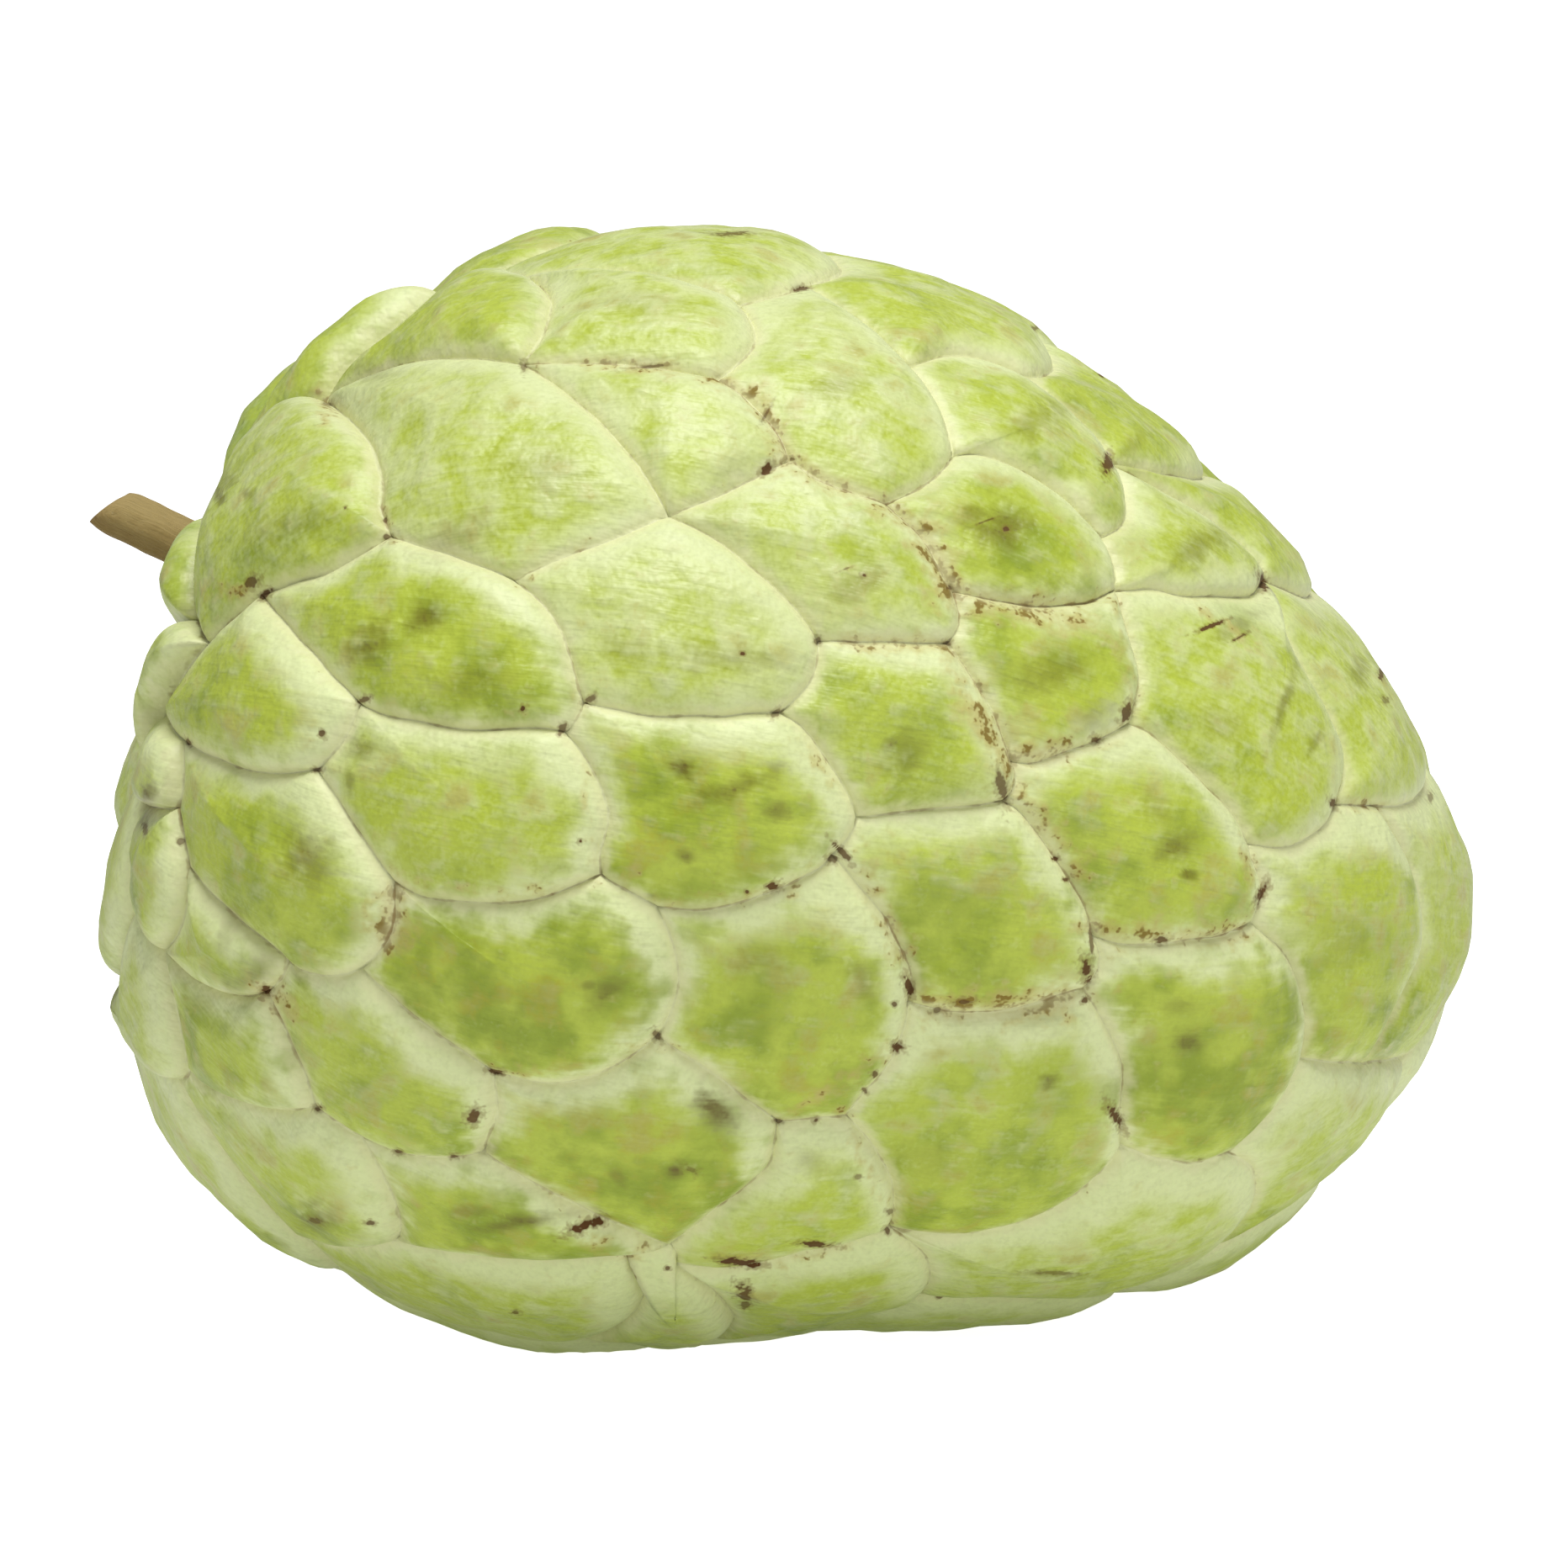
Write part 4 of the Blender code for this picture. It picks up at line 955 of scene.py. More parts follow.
# %% Marks on the far side
# The far side gets its own scars and stains, drawn from a list of chances that never changes. Each row
# holds a direction, half a length and half a width in millimetres, a turn and a darkness.
FAR_SIDE = 0.15           # how far a corner points away from the camera
SCARRED_SHARE = 0.6       # of the hidden corners
chance = random.Random(21)
hidden_corners = [d for key, d in points.items() if not isinstance(key, str) and d @ FORWARD > FAR_SIDE]
hidden_scars = [(d, chance.uniform(0.5, 1.6), chance.uniform(0.35, 0.8), chance.uniform(0, math.pi),
                 chance.uniform(0.5, 1.0)) for d in hidden_corners if chance.random() < SCARRED_SHARE]
hidden_sites = [sites[k] for k, name in enumerate(names) if name.startswith("hidden")]
hidden_stains = [(d, chance.uniform(2.0, 4.5), chance.uniform(1.2, 2.4), chance.uniform(0, math.pi),
                  chance.uniform(0.25, 0.8)) for d in hidden_sites]
print(len(hidden_scars), "hidden scars,", len(hidden_stains), "hidden stains")

# %% [markdown]
# ## Where each mark lies
#
# A mark is a small frame on the skin: its centre, one direction along it and one across it. Both
# directions are scaled so that the mark's edge lies at a length of one.

# %% Marks as small frames on the skin
MARK_LIFT = 1.2 * MM      # about how far a flat scale's skin lies over its seams


def seen_marks(rows):
    """Centre, two scaled directions and darkness of marks that were read from the photograph."""
    pixels = [(x, y) for x, y, *_ in rows]
    spots = cast(pixels, lambda d: seam_radius(d) + MARK_LIFT)
    centres = CENTRE + spots * (seam_radius(spots) + MARK_LIFT)[:, None]
    made = []
    for centre, (_, _, length, width, degrees, dark) in zip(centres, rows):
        c, s = math.cos(math.radians(degrees)), math.sin(math.radians(degrees))
        long_way, short_way = c * RIGHT - s * UP, s * RIGHT + c * UP
        made.append((centre, long_way * 2 / (length * PIXEL), short_way * 2 / (width * PIXEL), dark))
    return made


def hidden_marks(rows):
    """The same for marks on the far side, whose sizes are in millimetres."""
    made = []
    for spot, length, width, turn, dark in rows:
        side = unit(np.cross(spot, TIP))
        other = np.cross(spot, side)
        long_way = math.cos(turn) * side + math.sin(turn) * other
        centre = CENTRE + spot * seam_radius(spot[None, :])[0]
        made.append((centre, long_way / (length * MM), np.cross(spot, long_way) / (width * MM), dark))
    return made


FAR_AWAY = 9.0            # in units of a mark's own size
SCAR_LIMIT = 4.5 * MM
STAIN_LIMIT = 12 * MM
BLOCK = 20000             # faces worked on at once, to spare memory


def place_in_marks(marks, corners, furthest):
    """Each face corner's place in its face's nearest mark within furthest, and that mark's darkness."""
    centres = np.array([m[0] for m in marks])
    long_ways = np.array([m[1] for m in marks])
    short_ways = np.array([m[2] for m in marks])
    dark = np.array([m[3] for m in marks])
    result = np.full((len(corners), 3, 3), FAR_AWAY)
    for first in range(0, len(corners), BLOCK):
        block = corners[first:first + BLOCK]
        middle = block.mean(axis=1)
        away = middle[:, None, :] - centres[None]
        reach = np.hypot((away * long_ways).sum(-1), (away * short_ways).sum(-1))
        reach[np.linalg.norm(away, axis=2) > furthest] = FAR_AWAY
        best = reach.argmin(axis=1)
        here = block - centres[best][:, None, :]
        x = (here * long_ways[best][:, None, :]).sum(-1)
        y = (here * short_ways[best][:, None, :]).sum(-1)
        far = (reach.min(axis=1) >= FAR_AWAY)[:, None]
        rows = result[first:first + BLOCK]
        rows[:, :, 0] = np.where(far, FAR_AWAY, np.clip(x, -FAR_AWAY, FAR_AWAY))
        rows[:, :, 1] = np.where(far, FAR_AWAY, np.clip(y, -FAR_AWAY, FAR_AWAY))
        rows[:, :, 2] = np.where(far, 0.0, dark[best][:, None])
    return result


# %% Cork along the seams
# Brown cork follows some seams, listed as strokes: two pixels, a width and a strength. The far side has
# cork wherever a soft random value is high.
CORK = [
    (1060, 605, 1098, 640, 22, 0.8), (1098, 640, 1132, 705, 26, 1.0), (1140, 712, 1290, 735, 26, 0.8),
    (1125, 770, 1160, 830, 20, 0.7), (1150, 830, 1200, 905, 22, 0.9), (1200, 898, 1262, 892, 20, 1.0),
    (1205, 940, 1290, 1030, 22, 0.7), (1290, 1104, 1480, 1112, 18, 0.8),
    (1110, 1196, 1270, 1190, 26, 0.9), (1010, 765, 1112, 766, 14, 0.8), (985, 640, 1050, 750, 16, 0.3),
    (850, 452, 900, 470, 16, 0.9), (898, 470, 935, 545, 20, 0.8), (960, 560, 1050, 600, 16, 0.8),
    (720, 432, 800, 438, 12, 0.8), (640, 430, 720, 434, 10, 0.5), (960, 885, 985, 925, 18, 0.7),
    (1018, 1020, 1075, 1130, 20, 0.6), (470, 1060, 470, 1120, 26, 1.0), (440, 1100, 478, 1095, 24, 0.8),
    (312, 1175, 350, 1205, 20, 0.9), (600, 840, 700, 830, 12, 0.4), (700, 620, 800, 600, 12, 0.4),
    (615, 690, 700, 640, 12, 0.4), (480, 1050, 640, 1060, 12, 0.5), (640, 1060, 760, 1040, 12, 0.5),
    (780, 1075, 940, 1055, 12, 0.5), (690, 850, 705, 1030, 10, 0.4), (1325, 705, 1345, 850, 18, 0.5),
    (1200, 905, 1340, 875, 16, 0.5), (300, 705, 250, 700, 16, 0.8), (1320, 1120, 1330, 1180, 12, 0.5),
    (575, 1275, 700, 1270, 12, 0.5), (730, 1250, 790, 1240, 14, 0.5), (930, 1330, 1060, 1250, 14, 0.6),
    (1000, 1320, 1060, 1440, 18, 0.5), (600, 1375, 740, 1480, 10, 0.4), (700, 1475, 760, 1490, 22, 0.6),
    (860, 1510, 1000, 1485, 12, 0.5), (455, 610, 460, 640, 14, 0.7), (380, 470, 392, 500, 16, 0.7),
    (1050, 430, 1140, 470, 12, 0.4), (1420, 720, 1500, 770, 12, 0.5), (1590, 950, 1640, 960, 12, 0.5),
    (1480, 1000, 1500, 1070, 14, 0.6),
]
print(len(CORK), "strokes of cork")

SEEN_DEPTH = 12 * MM      # the strokes reach this far behind the fruit's middle
HIDDEN_DEPTH = 5 * MM     # cork of its own starts this far behind it
CORK_PATCH = 9.0 * MM
CORK_REACH, CORK_FADE = 2.5, 1.2  # millimetres from a seam
CORK_SPARING = 0.1        # more of it leaves more seams clean
CORK_GAIN = 2.2


def cork_values(places, seam_mm):
    """How corky the skin is at each place, from 0 to 1."""
    pixels = pixel_of(places)
    seen = ((places - CENTRE) @ FORWARD) < SEEN_DEPTH
    value = np.zeros(len(places))
    for x0, y0, x1, y1, width, strength in CORK:
        start, run = np.array([x0, y0], float), np.array([x1 - x0, y1 - y0], float)
        share = np.clip(((pixels - start) @ run) / (run @ run), 0, 1)
        apart = np.linalg.norm(pixels - start - share[:, None] * run, axis=1)
        value = np.maximum(value, np.where(seen, strength * np.exp(-(apart / width) ** 2), 0.0))
    close = np.nonzero((seam_mm < CORK_REACH) & ((places - CENTRE) @ FORWARD > HIDDEN_DEPTH))[0]
    wild = smooth_noise(places[close], CORK_PATCH, 31.0) - CORK_SPARING
    patches = np.clip(CORK_GAIN * wild, 0, 1) * np.exp(-(seam_mm[close] / CORK_FADE) ** 2)
    value[close] = np.maximum(value[close], patches)
    return value


# %% [markdown]
# ## Give the mesh its values
#
# The nodes read eight values. Five belong to points: the distance to the seam, how far inside the scale
# the point lies, the closeness of a dimple, the cork, and how near the stem the point lies. Three belong
# to face corners: the place on the scale, the place in the nearest scar and the place in the nearest
# stain.

# %% Make the mesh
# The skin stays just inside the solid's box, and what lies lowest is pressed flat on the table.
BOX_MARGIN = 0.02 * MM
FLAT_LIMIT = 0.03 * MM
places = np.array(vertices)
places = np.clip(places, np.array(cad_low) + BOX_MARGIN, np.array(cad_high) - BOX_MARGIN)
places[:, 2] = np.where(places[:, 2] < FLAT_LIMIT, 0.0, places[:, 2])
seam_mm = np.array(seam_values)
skin_mesh = bpy.data.meshes.new("fruit_skin")
skin_mesh.from_pydata(places.tolist(), [], faces)
skin_mesh.shade_smooth()


def keep_values(mesh, name, values, kind, domain):
    """Stores values on the points or face corners of a mesh under a name that nodes can read."""
    layer = mesh.attributes.new(name, kind, domain)
    entry = "vector" if kind == "FLOAT_VECTOR" else "value"
    layer.data.foreach_set(entry, np.asarray(values, np.float32).ravel())


_, dimple_values = dimples(places)
for name, values in (
        ("seam_mm", seam_mm), ("inner", inner_values), ("dimple", dimple_values),
        ("cork", cork_values(places, seam_mm)), ("knob", knobbiness(unit(places - CENTRE)))):
    keep_values(skin_mesh, name, values, "FLOAT", "POINT")
corners = places[np.array(faces)]
scars = seen_marks(SCARS) + hidden_marks(hidden_scars)
stains = seen_marks(STAINS) + hidden_marks(hidden_stains)
for name, values in (
        ("scale_place", face_places), ("scar_place", place_in_marks(scars, corners, SCAR_LIMIT)),
        ("stain_place", place_in_marks(stains, corners, STAIN_LIMIT))):
    keep_values(skin_mesh, name, values, "FLOAT_VECTOR", "CORNER")
skin = add_object("fruit_skin", skin_mesh)
volume = np.einsum("ij,ij->i", corners[:, 0], np.cross(corners[:, 1], corners[:, 2])).sum() / 6
print(len(skin_mesh.polygons), "faces round", round(volume * 1e6), "cubic centimetres")

# %% [markdown]
# ## Helpers for nodes
#
# A material is a small network: values go in at the left and colours come out at the right. These helpers
# add one node and connect it in the same line, which keeps each recipe short enough to read.

# %% Helpers: one node in one line
def put(tree, kind, links=None, **settings):
    """Adds a node, sets it up, and gives each named or numbered input a value or a link."""
    item = tree.nodes.new(kind)
    for name, value in settings.items():
        setattr(item, name, value)
    for socket, value in (links or {}).items():
        if isinstance(value, bpy.types.NodeSocket):
            tree.links.new(value, item.inputs[socket])
        else:
            item.inputs[socket].default_value = value
    return item


def reckon(tree, operation, a, b=0.0, clamp=False):
    """The result of one sum with one or two values."""
    return put(tree, "ShaderNodeMath", {0: a, 1: b}, operation=operation, use_clamp=clamp).outputs[0]


def times(tree, a, b):
    return reckon(tree, "MULTIPLY", a, b)


def add(tree, first, *more):
    """The sum of values, each given alone or as a pair of value and weight."""
    total = first
    for item in more:
        part = times(tree, *item) if isinstance(item, tuple) else item
        total = reckon(tree, "ADD", total, part)
    return total


def ramp(tree, value, low, high, start=0.0, end=1.0):
    """A soft step: start below low, end above high."""
    ends = {"Value": value, "From Min": low, "From Max": high, "To Min": start, "To Max": end}
    return put(tree, "ShaderNodeMapRange", ends, interpolation_type="SMOOTHSTEP").outputs["Result"]


def blend(tree, share, first, second):
    """A colour between two others."""
    return put(tree, "ShaderNodeMix", {0: share, 6: first, 7: second}, data_type="RGBA").outputs[2]


def new_material(name):
    """A new material, its nodes and its shader."""
    material = bpy.data.materials.new(name)
    material.use_nodes = True
    return material, material.node_tree, material.node_tree.nodes["Principled BSDF"]


def read(tree, name, output="Fac"):
    """A value that the mesh keeps under a name."""
    return put(tree, "ShaderNodeAttribute", attribute_name=name).outputs[output]


def colour(red, green, blue):
    """A colour as it looks on a screen, 0 to 255, turned into the light values that nodes use."""
    parts = [c / 255 for c in (red, green, blue)]
    return tuple(c / 12.92 if c <= 0.04045 else ((c + 0.055) / 1.055) ** 2.4 for c in parts) + (1.0,)


# %% [markdown]
# ## Effects that skin and stem share
#
# Living surfaces are never one even colour. Two effects serve both the skin and the bark. *Mottle* gives
# soft clouds of a chosen size. *Streaks* gives the same clouds drawn out along one direction, like
# fibres. Each is a group: it is made once, and each material places it with its own values. Both give
# values round zero.

# %% Groups for mottle and streaks
def new_group(name, inputs, output):
    """An empty node group with the given sockets."""
    group = bpy.data.node_groups.new(name, "ShaderNodeTree")
    for label, kind, value in inputs:
        socket = group.interface.new_socket(label, in_out="INPUT", socket_type=kind)
        if value is not None:
            socket.default_value = value
    group.interface.new_socket(output, in_out="OUTPUT", socket_type="NodeSocketFloat")
    given = group.nodes.new("NodeGroupInput").outputs
    return group, given, group.nodes.new("NodeGroupOutput").inputs[output]


def group_value(tree, group, **links):
    """Places a group with its inputs and returns its output."""
    item = put(tree, "ShaderNodeGroup", node_tree=group)
    for name, value in links.items():
        socket = item.inputs[name.replace("_", " ")]
        if isinstance(value, bpy.types.NodeSocket):
            tree.links.new(value, socket)
        else:
            socket.default_value = value
    return item.outputs[0]


FLOAT, VECTOR = "NodeSocketFloat", "NodeSocketVector"
SPREAD = 2.8              # noise keeps near its middle, and this spreads it to about -1 to 1
STREAK_SHIFT = 17.0       # how fast the streaks change with the place's third value
mottle, given, out = new_group(
    "mottle",
    [("Place", VECTOR, None), ("Size mm", FLOAT, 5.0), ("Detail", FLOAT, 3.0), ("Amount", FLOAT, 1.0)],
    "Value")
per_metre = reckon(mottle, "DIVIDE", 1000.0, given["Size mm"])
cloud = put(mottle, "ShaderNodeTexNoise", {
    "Vector": given["Place"], "Scale": per_metre, "Detail": given["Detail"], "Roughness": 0.62})
swing = times(mottle, reckon(mottle, "SUBTRACT", cloud.outputs["Fac"], 0.5), given["Amount"])
mottle.links.new(times(mottle, swing, SPREAD), out)

streaks, given, out = new_group(
    "streaks",
    [("Place", VECTOR, None), ("Length", FLOAT, 4.0), ("Width", FLOAT, 0.5), ("Amount", FLOAT, 1.0)],
    "Value")
parts = put(streaks, "ShaderNodeSeparateXYZ", {0: given["Place"]}).outputs
drawn = put(streaks, "ShaderNodeCombineXYZ", {"X": reckon(streaks, "DIVIDE", parts["X"], given["Length"]),
                                              "Y": reckon(streaks, "DIVIDE", parts["Y"], given["Width"]),
                                              "Z": times(streaks, parts["Z"], STREAK_SHIFT)})
fibres = put(streaks, "ShaderNodeTexNoise", {"Vector": drawn.outputs[0], "Scale": 1.0, "Detail": 2.0,
                                             "Roughness": 0.6})
swing = times(streaks, reckon(streaks, "SUBTRACT", fibres.outputs["Fac"], 0.5), given["Amount"])
streaks.links.new(times(streaks, swing, SPREAD), out)

# %% [markdown]
# ## A group for scars and stains
#
# The mesh keeps each corner's place inside the nearest mark, where a length of one is its edge. The group
# measures that length, frays the edge with a cloud that the material hands over, and puts out how dark
# the mark is there.

# %% Group for marks
marks, given, out = new_group(
    "marks", [("Mark", VECTOR, None), ("Cloud", FLOAT, 0.0), ("Fray", FLOAT, 0.5), ("Inner", FLOAT, 0.7),
              ("Outer", FLOAT, 1.2)], "Mask")
parts = put(marks, "ShaderNodeSeparateXYZ", {0: given["Mark"]}).outputs
flat = put(marks, "ShaderNodeCombineXYZ", {"X": parts["X"], "Y": parts["Y"]})
reach = put(marks, "ShaderNodeVectorMath", {0: flat.outputs[0]}, operation="LENGTH").outputs["Value"]
frayed = add(marks, reach, (given["Cloud"], given["Fray"]))
inside = ramp(marks, frayed, given["Inner"], given["Outer"], 1.0, 0.0)
marks.links.new(times(marks, inside, parts["Z"]), out)
print("groups:", [g.name for g in bpy.data.node_groups])

# %% [markdown]
# ## The waxy skin
#
# The skin is pale cream green along the seams and turns to a fresh lime green inside each scale. The pale
# band is the skin's own colour and is widest at the scale's tipward edge. It is also widened at the upper
# edge, and the green is deepest below the middle: this part is painted light and shade from above. Clouds
# and fine streaks break the change up. Over this lie soft olive stains, tan and brown cork, the thin
# broken seam lines, painted shade in the grooves between the knobs and the dark scars, in this order,
# because a scar covers the rest. Five noises serve the whole skin, because each one costs time.

# %% Skin: the places that the nodes work with
PALE = colour(221, 230, 169)
LIME = colour(184, 200, 68)
DEEP = colour(138, 158, 26)
COOL = colour(156, 180, 104)
OLIVE = colour(104, 98, 10)
TAN = colour(190, 173, 96)
BROWN = colour(126, 102, 32)
LINE = colour(136, 110, 56)
PAINTED_CREVICE_SHADE = colour(74, 76, 34)
SCAR = colour(88, 54, 14)
CREAM = colour(224, 222, 172)
OCHRE = colour(168, 156, 30)
UMBER = colour(98, 78, 12)

skin_material, net, shader = new_material("skin")
place = put(net, "ShaderNodeTexCoord").outputs["Object"]
on_scale = read(net, "scale_place", "Vector")
along = put(net, "ShaderNodeSeparateXYZ", {0: on_scale}).outputs
seam_away, inner, knob = read(net, "seam_mm"), read(net, "inner"), read(net, "knob")
clouds = group_value(net, mottle, Place=place, Size_mm=6.0, Detail=2.0)
flecks = group_value(net, mottle, Place=place, Size_mm=1.7, Detail=2.0)
haze = group_value(net, mottle, Place=place, Size_mm=3.3, Detail=1.0)
grit = group_value(net, mottle, Place=place, Size_mm=0.5, Detail=1.0)
fibres = group_value(net, streaks, Place=on_scale, Length=5.0, Width=0.75)

# %% Skin: from pale rim to deep green
# Painted light and shade: along Y runs up each seen scale, so its weights widen the pale band at the
# upper edge and deepen the green below the middle.
edge_with_top_light = add(net, seam_away, (clouds, 2.0), (flecks, 0.8), (fibres, 0.8), (along["Y"], -0.17),
           (along["X"], -0.08), (knob, 2.6))
lime_share = ramp(net, edge_with_top_light, 0.0, 3.6)
depth = add(net, times(net, inner, 0.40), (clouds, 1.15), (flecks, 0.34), (fibres, 0.2),
            (haze, 0.55), (along["Y"], -0.04), (along["Z"], 0.9))
deep_share = ramp(net, depth, 0.50, 1.90, 0.0, 0.95)
skin_colour = blend(net, deep_share, blend(net, lime_share, PALE, LIME), DEEP)
cool_share = times(net, ramp(net, add(net, clouds, (flecks, 0.6)), -0.5, 0.9),
                   ramp(net, knob, 0.05, 0.8, 0.04, 0.5))
skin_colour = blend(net, cool_share, skin_colour, COOL)
# The milky veil is the skin's own bloom, with a little painted light from above: along Y makes it paler
# towards the upper edge.
milk = add(net, haze, (flecks, 0.35), (fibres, 0.3), (clouds, -0.3), (along["Y"], 0.03),
           (along["Z"], -0.9))
skin_colour = blend(net, ramp(net, milk, -0.75, 0.45, 0.0, 0.65), skin_colour, PALE)
wax = add(net, ramp(net, along["Z"], 0.0, 1.0, 0.12, -0.14), (flecks, 0.22), (grit, 0.16), (fibres, 0.13))
skin_colour = blend(net, reckon(net, "ADD", wax, 0.03, clamp=True), skin_colour, PALE)
shade = times(net, grit, -0.12)
skin_colour = blend(net, reckon(net, "ADD", shade, 0.02, clamp=True), skin_colour, OLIVE)
warm = add(net, haze, (clouds, -0.6), (grit, 0.3), (along["Z"], 0.25))
warm_share = times(net, ramp(net, warm, 0.20, 1.05, 0.0, 0.60), lime_share)
skin_colour = blend(net, warm_share, skin_colour, OCHRE)

# %% Skin: dimples, stains and cork
skin_colour = blend(net, times(net, read(net, "dimple"), 0.45), skin_colour, DEEP)
stain = group_value(net, marks, Mark=read(net, "stain_place", "Vector"),
                    Cloud=add(net, flecks, (fibres, 0.7)), Fray=0.55, Inner=0.0, Outer=1.25)
skin_colour = blend(net, times(net, stain, 0.86), skin_colour, OLIVE)
core = ramp(net, add(net, stain, (grit, 0.35), (flecks, 0.4)), 0.55, 1.25, 0.0, 0.75)
skin_colour = blend(net, core, skin_colour, UMBER)
cork = read(net, "cork")
skin_colour = blend(net, ramp(net, add(net, cork, (flecks, 0.8)), 0.25, 1.1, 0.0, 0.65), skin_colour, TAN)
dots = add(net, times(net, grit, 0.5), (flecks, 0.95), (cork, 1.0), (seam_away, -0.09))
dots = ramp(net, dots, 0.74, 1.08)
skin_colour = blend(net, times(net, dots, 0.88), skin_colour, BROWN)

# %% Skin: seam lines and scars
line_width = reckon(net, "MAXIMUM", add(net, 0.09, (flecks, 0.20), (clouds, 0.10)), 0.02)
on_line = ramp(net, seam_away, times(net, line_width, 0.4), line_width, 1.0, 0.0)
broken = ramp(net, add(net, clouds, (flecks, 0.8), (cork, 0.6)), -0.3, 1.1, 0.0, 0.7)
line = times(net, on_line, broken)
rim = ramp(net, add(net, seam_away, (flecks, 0.6)), 0.0, 1.2, 0.6, 0.0)
skin_colour = blend(net, rim, skin_colour, CREAM)
skin_colour = blend(net, line, skin_colour, LINE)
# Painted shade: the grooves between the knobs near the stem are darkened where shade falls.
painted_groove_shade = times(net, ramp(net, add(net, seam_away, (flecks, 0.35)), 0.1, 1.5, 1.0, 0.0),
               ramp(net, knob, 0.35, 0.85, 0.0, 0.8))
skin_colour = blend(net, painted_groove_shade, skin_colour, PAINTED_CREVICE_SHADE)
scar_place = read(net, "scar_place", "Vector")
torn = add(net, times(net, grit, 0.55), (flecks, 0.7))
scar = group_value(net, marks, Mark=scar_place, Cloud=torn, Fray=0.8, Inner=0.5, Outer=0.85)
scar_rim = group_value(net, marks, Mark=scar_place, Cloud=add(net, torn, (grit, 0.5)), Fray=0.8,
                       Inner=0.8, Outer=1.6)
skin_colour = blend(net, times(net, scar_rim, 0.5), skin_colour, BROWN)
skin_colour = blend(net, scar, skin_colour, SCAR)
net.links.new(skin_colour, shader.inputs["Base Color"])

# %% Skin: sheen and fine relief
dry = reckon(net, "MAXIMUM", reckon(net, "MAXIMUM", scar, dots), line)
rough = add(net, ramp(net, lime_share, 0.0, 1.0, 0.52, 0.42), (flecks, 0.06))
net.links.new(reckon(net, "MAXIMUM", rough, times(net, dry, 0.85)), shader.inputs["Roughness"])
net.links.new(ramp(net, dry, 0.0, 0.6, 0.18, 0.0), shader.inputs["Coat Weight"])
shader.inputs["Coat Roughness"].default_value = 0.34
shader.inputs["Specular IOR Level"].default_value = 0.38
height = add(net, times(net, flecks, 0.12), (fibres, 0.05), (haze, 0.10))
bump = put(net, "ShaderNodeBump", {"Height": height, "Distance": 0.001, "Strength": 0.9})
net.links.new(bump.outputs["Normal"], shader.inputs["Normal"])
skin_mesh.materials.append(skin_material)
print("skin:", len(net.nodes), "nodes")

# %% [markdown]
# ## The stem
#
# The stem is a short woody stub, a little thicker at its root, cut off at a slant so that it ends in a
# point. Its bark is dry and smooth with fine ridges along its length. A ring of points at each step along
# the axis makes the bark, with a fine wave round each ring for the ridges, and the cut gets its own faces
# with a sunken, darker pith.

# %% Shape of the stem
STEM_RADIUS = 2.45 * MM
STEM_ROOT_RADIUS = 2.75 * MM
STEM_STEPS = 44
STEM_SIDES = 72
STEM_SINK = 2.2 * MM
STEM_SLANT = 0.45
SLANT_START = 0.3         # share of the stem's length
STEM_FLARE = 0.45         # share of its length that narrows
RIM_START, RIM_WIDTH = 0.93, 0.07
RIM_DROP = 0.25 * MM      # how far the bark draws in at the cut
BARK_INSET = 0.14 * MM
RIDGE_HEIGHT = 0.10 * MM
KNOT_HEIGHT = 0.09 * MM
KNOT_SIZE = 1.6 * MM


def stem_ring(share):
    """Points round the stem at a share of the way from inside the socket to the cut."""
    turns = 2 * math.pi * np.arange(STEM_SIDES) / STEM_SIDES
    along = -STEM_SINK + share * (STEM_LENGTH + STEM_SINK)
    narrow = np.clip(along / (STEM_FLARE * STEM_LENGTH), 0, 1)
    narrow = narrow * narrow * (3 - 2 * narrow)
    radius = STEM_ROOT_RADIUS + (STEM_RADIUS - STEM_ROOT_RADIUS) * narrow
    late = np.clip((share - SLANT_START) / (1 - SLANT_START), 0, 1)
    slant = -STEM_SLANT * radius * np.sin(turns) * late ** 2
    round_way = np.cos(turns)[:, None] * STEM_SIDE + np.sin(turns)[:, None] * STEM_HIGH
    line = STEM_ROOT + (along + slant)[:, None] * STEM_AXIS
    wave_places = np.column_stack([3 * np.cos(turns), 3 * np.sin(turns), np.full(STEM_SIDES, share)])
    ridges = smooth_noise(wave_places, 1.0, 2.0)
    bumps = smooth_noise(line + radius * round_way, KNOT_SIZE, 9.0)
    rim = -RIM_DROP * np.clip((share - RIM_START) / RIM_WIDTH, 0, 1) ** 2
    radius = radius - BARK_INSET + RIDGE_HEIGHT * ridges + KNOT_HEIGHT * bumps + rim
    return line + radius[:, None] * round_way


stem_points = [p for share in np.linspace(0, 1, STEM_STEPS) for p in stem_ring(share)]
stem_faces = []
for row in range(STEM_STEPS - 1):
    for n in range(STEM_SIDES):
        a, b = row * STEM_SIDES + n, row * STEM_SIDES + (n + 1) % STEM_SIDES
        stem_faces.append((a, b, b + STEM_SIDES, a + STEM_SIDES))
print(len(stem_faces), "faces of bark")

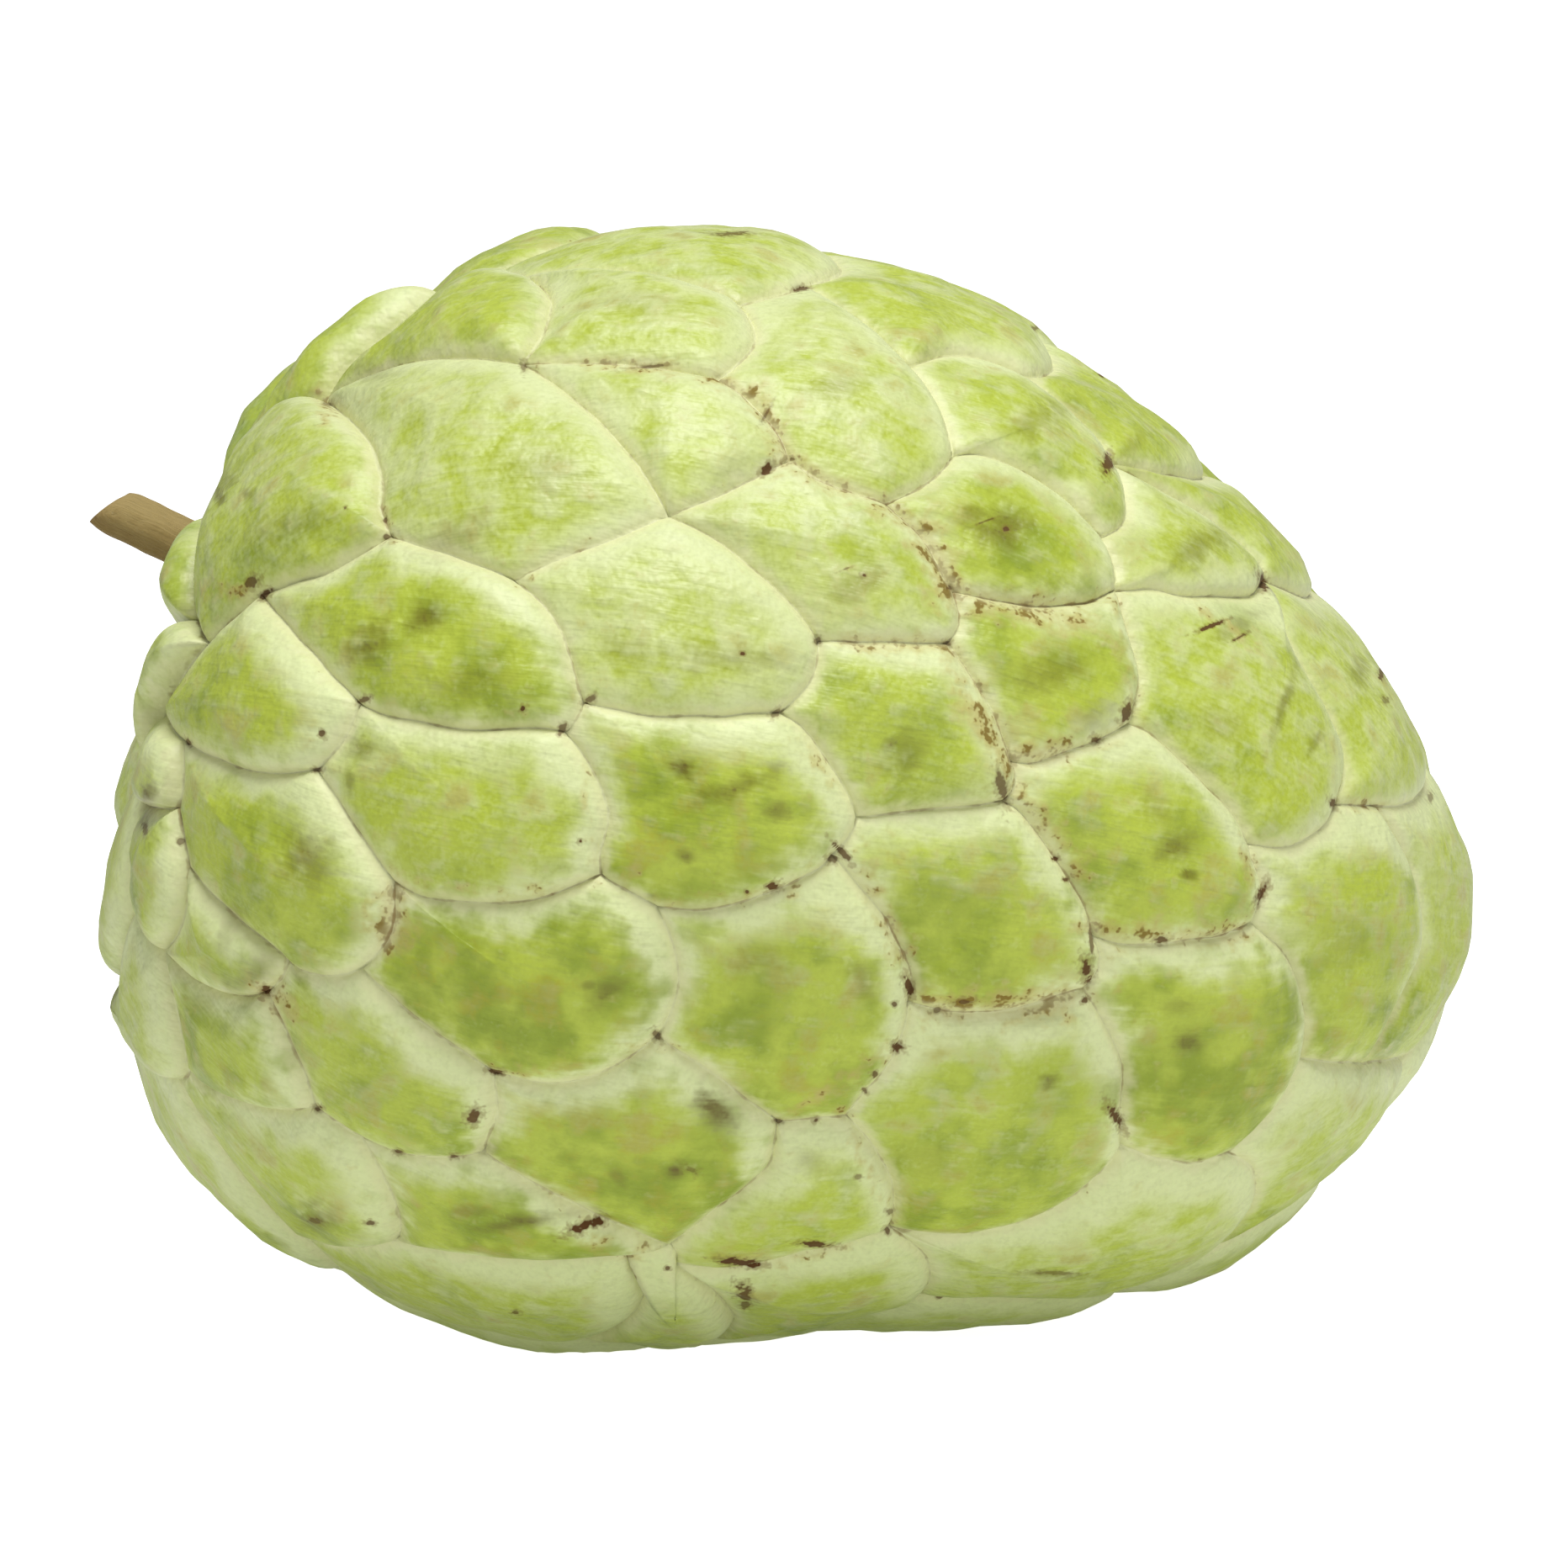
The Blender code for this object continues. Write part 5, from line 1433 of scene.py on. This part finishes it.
# %% The cut and the foot of the stem
CUT_RINGS = ((0.82, 0.02), (0.55, 0.10), (0.28, 0.16))  # share of the radius, millimetres sunk
CUT_ROUGHNESS = 0.12 * MM
CUT_GRAIN = 0.9 * MM
PITH_DEPTH = 0.2 * MM
last_ring = np.array(stem_points[-STEM_SIDES:])
cut_middle = last_ring.mean(axis=0)
cut_value = [0.0] * len(stem_points)
previous = list(range(len(stem_points) - STEM_SIDES, len(stem_points)))
for shrink, sunk in CUT_RINGS:
    first = len(stem_points)
    rough_cut = CUT_ROUGHNESS * smooth_noise(last_ring * shrink, CUT_GRAIN, 4.0)
    lower = (sunk * MM + np.abs(rough_cut))[:, None] * STEM_AXIS
    ring = cut_middle + shrink * (last_ring - cut_middle) - lower
    stem_points.extend(ring)
    cut_value += [1.0 - shrink + 0.25] * STEM_SIDES
    here = list(range(first, first + STEM_SIDES))
    for n in range(STEM_SIDES):
        after = (n + 1) % STEM_SIDES
        stem_faces.append((previous[n], previous[after], here[after], here[n]))
    previous = here
stem_points.append(cut_middle - PITH_DEPTH * STEM_AXIS)
cut_value.append(1.0)
stem_faces += [(previous[n], previous[(n + 1) % STEM_SIDES], len(stem_points) - 1)
               for n in range(STEM_SIDES)]
stem_faces.append(tuple(range(STEM_SIDES))[::-1])
stem_mesh = bpy.data.meshes.new("stem_bark")
stem_mesh.from_pydata([tuple(p) for p in stem_points], [], stem_faces)
stem_mesh.shade_smooth()
keep_values(stem_mesh, "cut", cut_value, "FLOAT", "POINT")
away = np.array(stem_points) - STEM_ROOT
stem_places = np.column_stack([away @ STEM_AXIS / MM, away @ STEM_HIGH / MM, away @ STEM_SIDE / MM])
keep_values(stem_mesh, "bark_place", stem_places, "FLOAT_VECTOR", "POINT")
stem = add_object("stem_bark", stem_mesh)
print(len(stem_mesh.polygons), "faces on the whole stem")

# %% Bark
# The bark is tan, and painted shade makes it browner towards its lower side. Fine dark streaks run along
# the stem, and the cut is darker where the pith has dried.
BARK = colour(172, 150, 98)
BARK_DARK = colour(134, 109, 58)
BARK_GREY = colour(168, 158, 124)
CUT = colour(104, 80, 46)
bark, net, shader = new_material("stem_wood")
place = put(net, "ShaderNodeTexCoord").outputs["Object"]
bark_place = read(net, "bark_place", "Vector")
painted_shade_height = put(net, "ShaderNodeSeparateXYZ", {0: bark_place}).outputs["Y"]
grain = group_value(net, streaks, Place=bark_place, Length=4.5, Width=0.45)
patches = group_value(net, mottle, Place=place, Size_mm=2.6)
specks = group_value(net, mottle, Place=place, Size_mm=0.35, Detail=2.0)
# Painted shade: the bark turns darker towards its lower side; patches and grain add its own tone.
dark = add(net, times(net, painted_shade_height, -0.28), (patches, 0.35), (grain, 0.35))
bark_colour = blend(net, ramp(net, dark, -0.6, 1.1), BARK, BARK_DARK)
bark_colour = blend(net, ramp(net, specks, 0.3, 1.1, 0.0, 0.4), bark_colour, BARK_GREY)
bark_colour = blend(net, ramp(net, read(net, "cut"), 0.1, 0.7), bark_colour, CUT)
net.links.new(bark_colour, shader.inputs["Base Color"])
net.links.new(ramp(net, grain, -0.8, 0.8, 0.72, 0.92), shader.inputs["Roughness"])
shader.inputs["Specular IOR Level"].default_value = 0.3
height = add(net, times(net, grain, -0.04), (specks, 0.012))
bump = put(net, "ShaderNodeBump", {"Height": height, "Distance": 0.001, "Strength": 1.0})
net.links.new(bump.outputs["Normal"], shader.inputs["Normal"])
stem_mesh.materials.append(bark)
print("bark:", len(net.nodes), "nodes")

# %% [markdown]
# ## Table and light
#
# The photograph is a product picture on pure white. A wide pale disc is the table. It glows for the
# camera, which keeps the paper white, and only faintly for the fruit, which brightens its lower side. One
# large soft lamp above gives the scales their shape and the wax its soft highlights. A weaker one in
# front opens the shadows.

# %% The table
def grey(value):
    return (value, value, value, 1.0)


TABLE_RADIUS = 9.0
TABLE_GAP = 0.2 * MM       # keeps the paper from flickering through the flat spot
table_mesh = bpy.data.meshes.new("table")
builder = bmesh.new()
bmesh.ops.create_circle(builder, cap_ends=True, segments=128, radius=TABLE_RADIUS)
builder.to_mesh(table_mesh)
builder.free()
table = add_object("table", table_mesh)
table.location.z = -TABLE_GAP
paper, net, shader = new_material("white_paper")
place = put(net, "ShaderNodeTexCoord").outputs["Object"]
faint = group_value(net, mottle, Place=place, Size_mm=60.0, Detail=2.0, Amount=0.3)
paper_colour = blend(net, reckon(net, "ADD", faint, 0.5, clamp=True), grey(0.80), grey(0.83))
net.links.new(paper_colour, shader.inputs["Base Color"])
shader.inputs["Roughness"].default_value = 0.9
shader.inputs["Specular IOR Level"].default_value = 0.1
seen_directly = put(net, "ShaderNodeLightPath").outputs["Is Camera Ray"]
net.links.new(blend(net, seen_directly, grey(0.17), grey(1.0)), shader.inputs["Emission Color"])
shader.inputs["Emission Strength"].default_value = 0.95
table_mesh.materials.append(paper)
print("the table is", 2 * TABLE_RADIUS, "m wide")

# %% World and lamps
world = bpy.data.worlds.new("light_tent")
bpy.context.scene.world = world
world.use_nodes = True
sky = world.node_tree.nodes["Background"].inputs
sky["Color"].default_value = grey(1.0)
sky["Strength"].default_value = 0.33
bpy.context.scene.view_settings.view_transform = "Standard"


def soft_lamp(name, place, target, size, watts):
    """A square lamp that faces a target."""
    data = bpy.data.lights.new(name, "AREA")
    data.size = size
    data.energy = watts
    lamp = add_object(name, data)
    lamp.location = place
    lamp.rotation_euler = (Vector(target) - Vector(place)).to_track_quat("-Z", "Y").to_euler()


soft_lamp("key", (0.08, -0.24, 0.87), (0, 0, 0.05), 0.4, 5.8)
soft_lamp("fill", (0.40, -0.85, 0.30), (0, 0, 0.05), 0.5, 0.8)
print("lamps:", [lamp.name for lamp in bpy.data.lights])

# %% [markdown]
# ## Ride and replace
#
# Both pieces ride on the fruit's one body and stand for the plain solids. The solid's box is printed.

# %% Ride, replace and finish
for piece, node, slot in ((skin, "fruit", "skin"), (stem, "stem", "stem_wood")):
    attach(piece, "root")
    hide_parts(node)
print("solid", [round(v / MM, 2) for v in (*cad_low, *cad_high)])
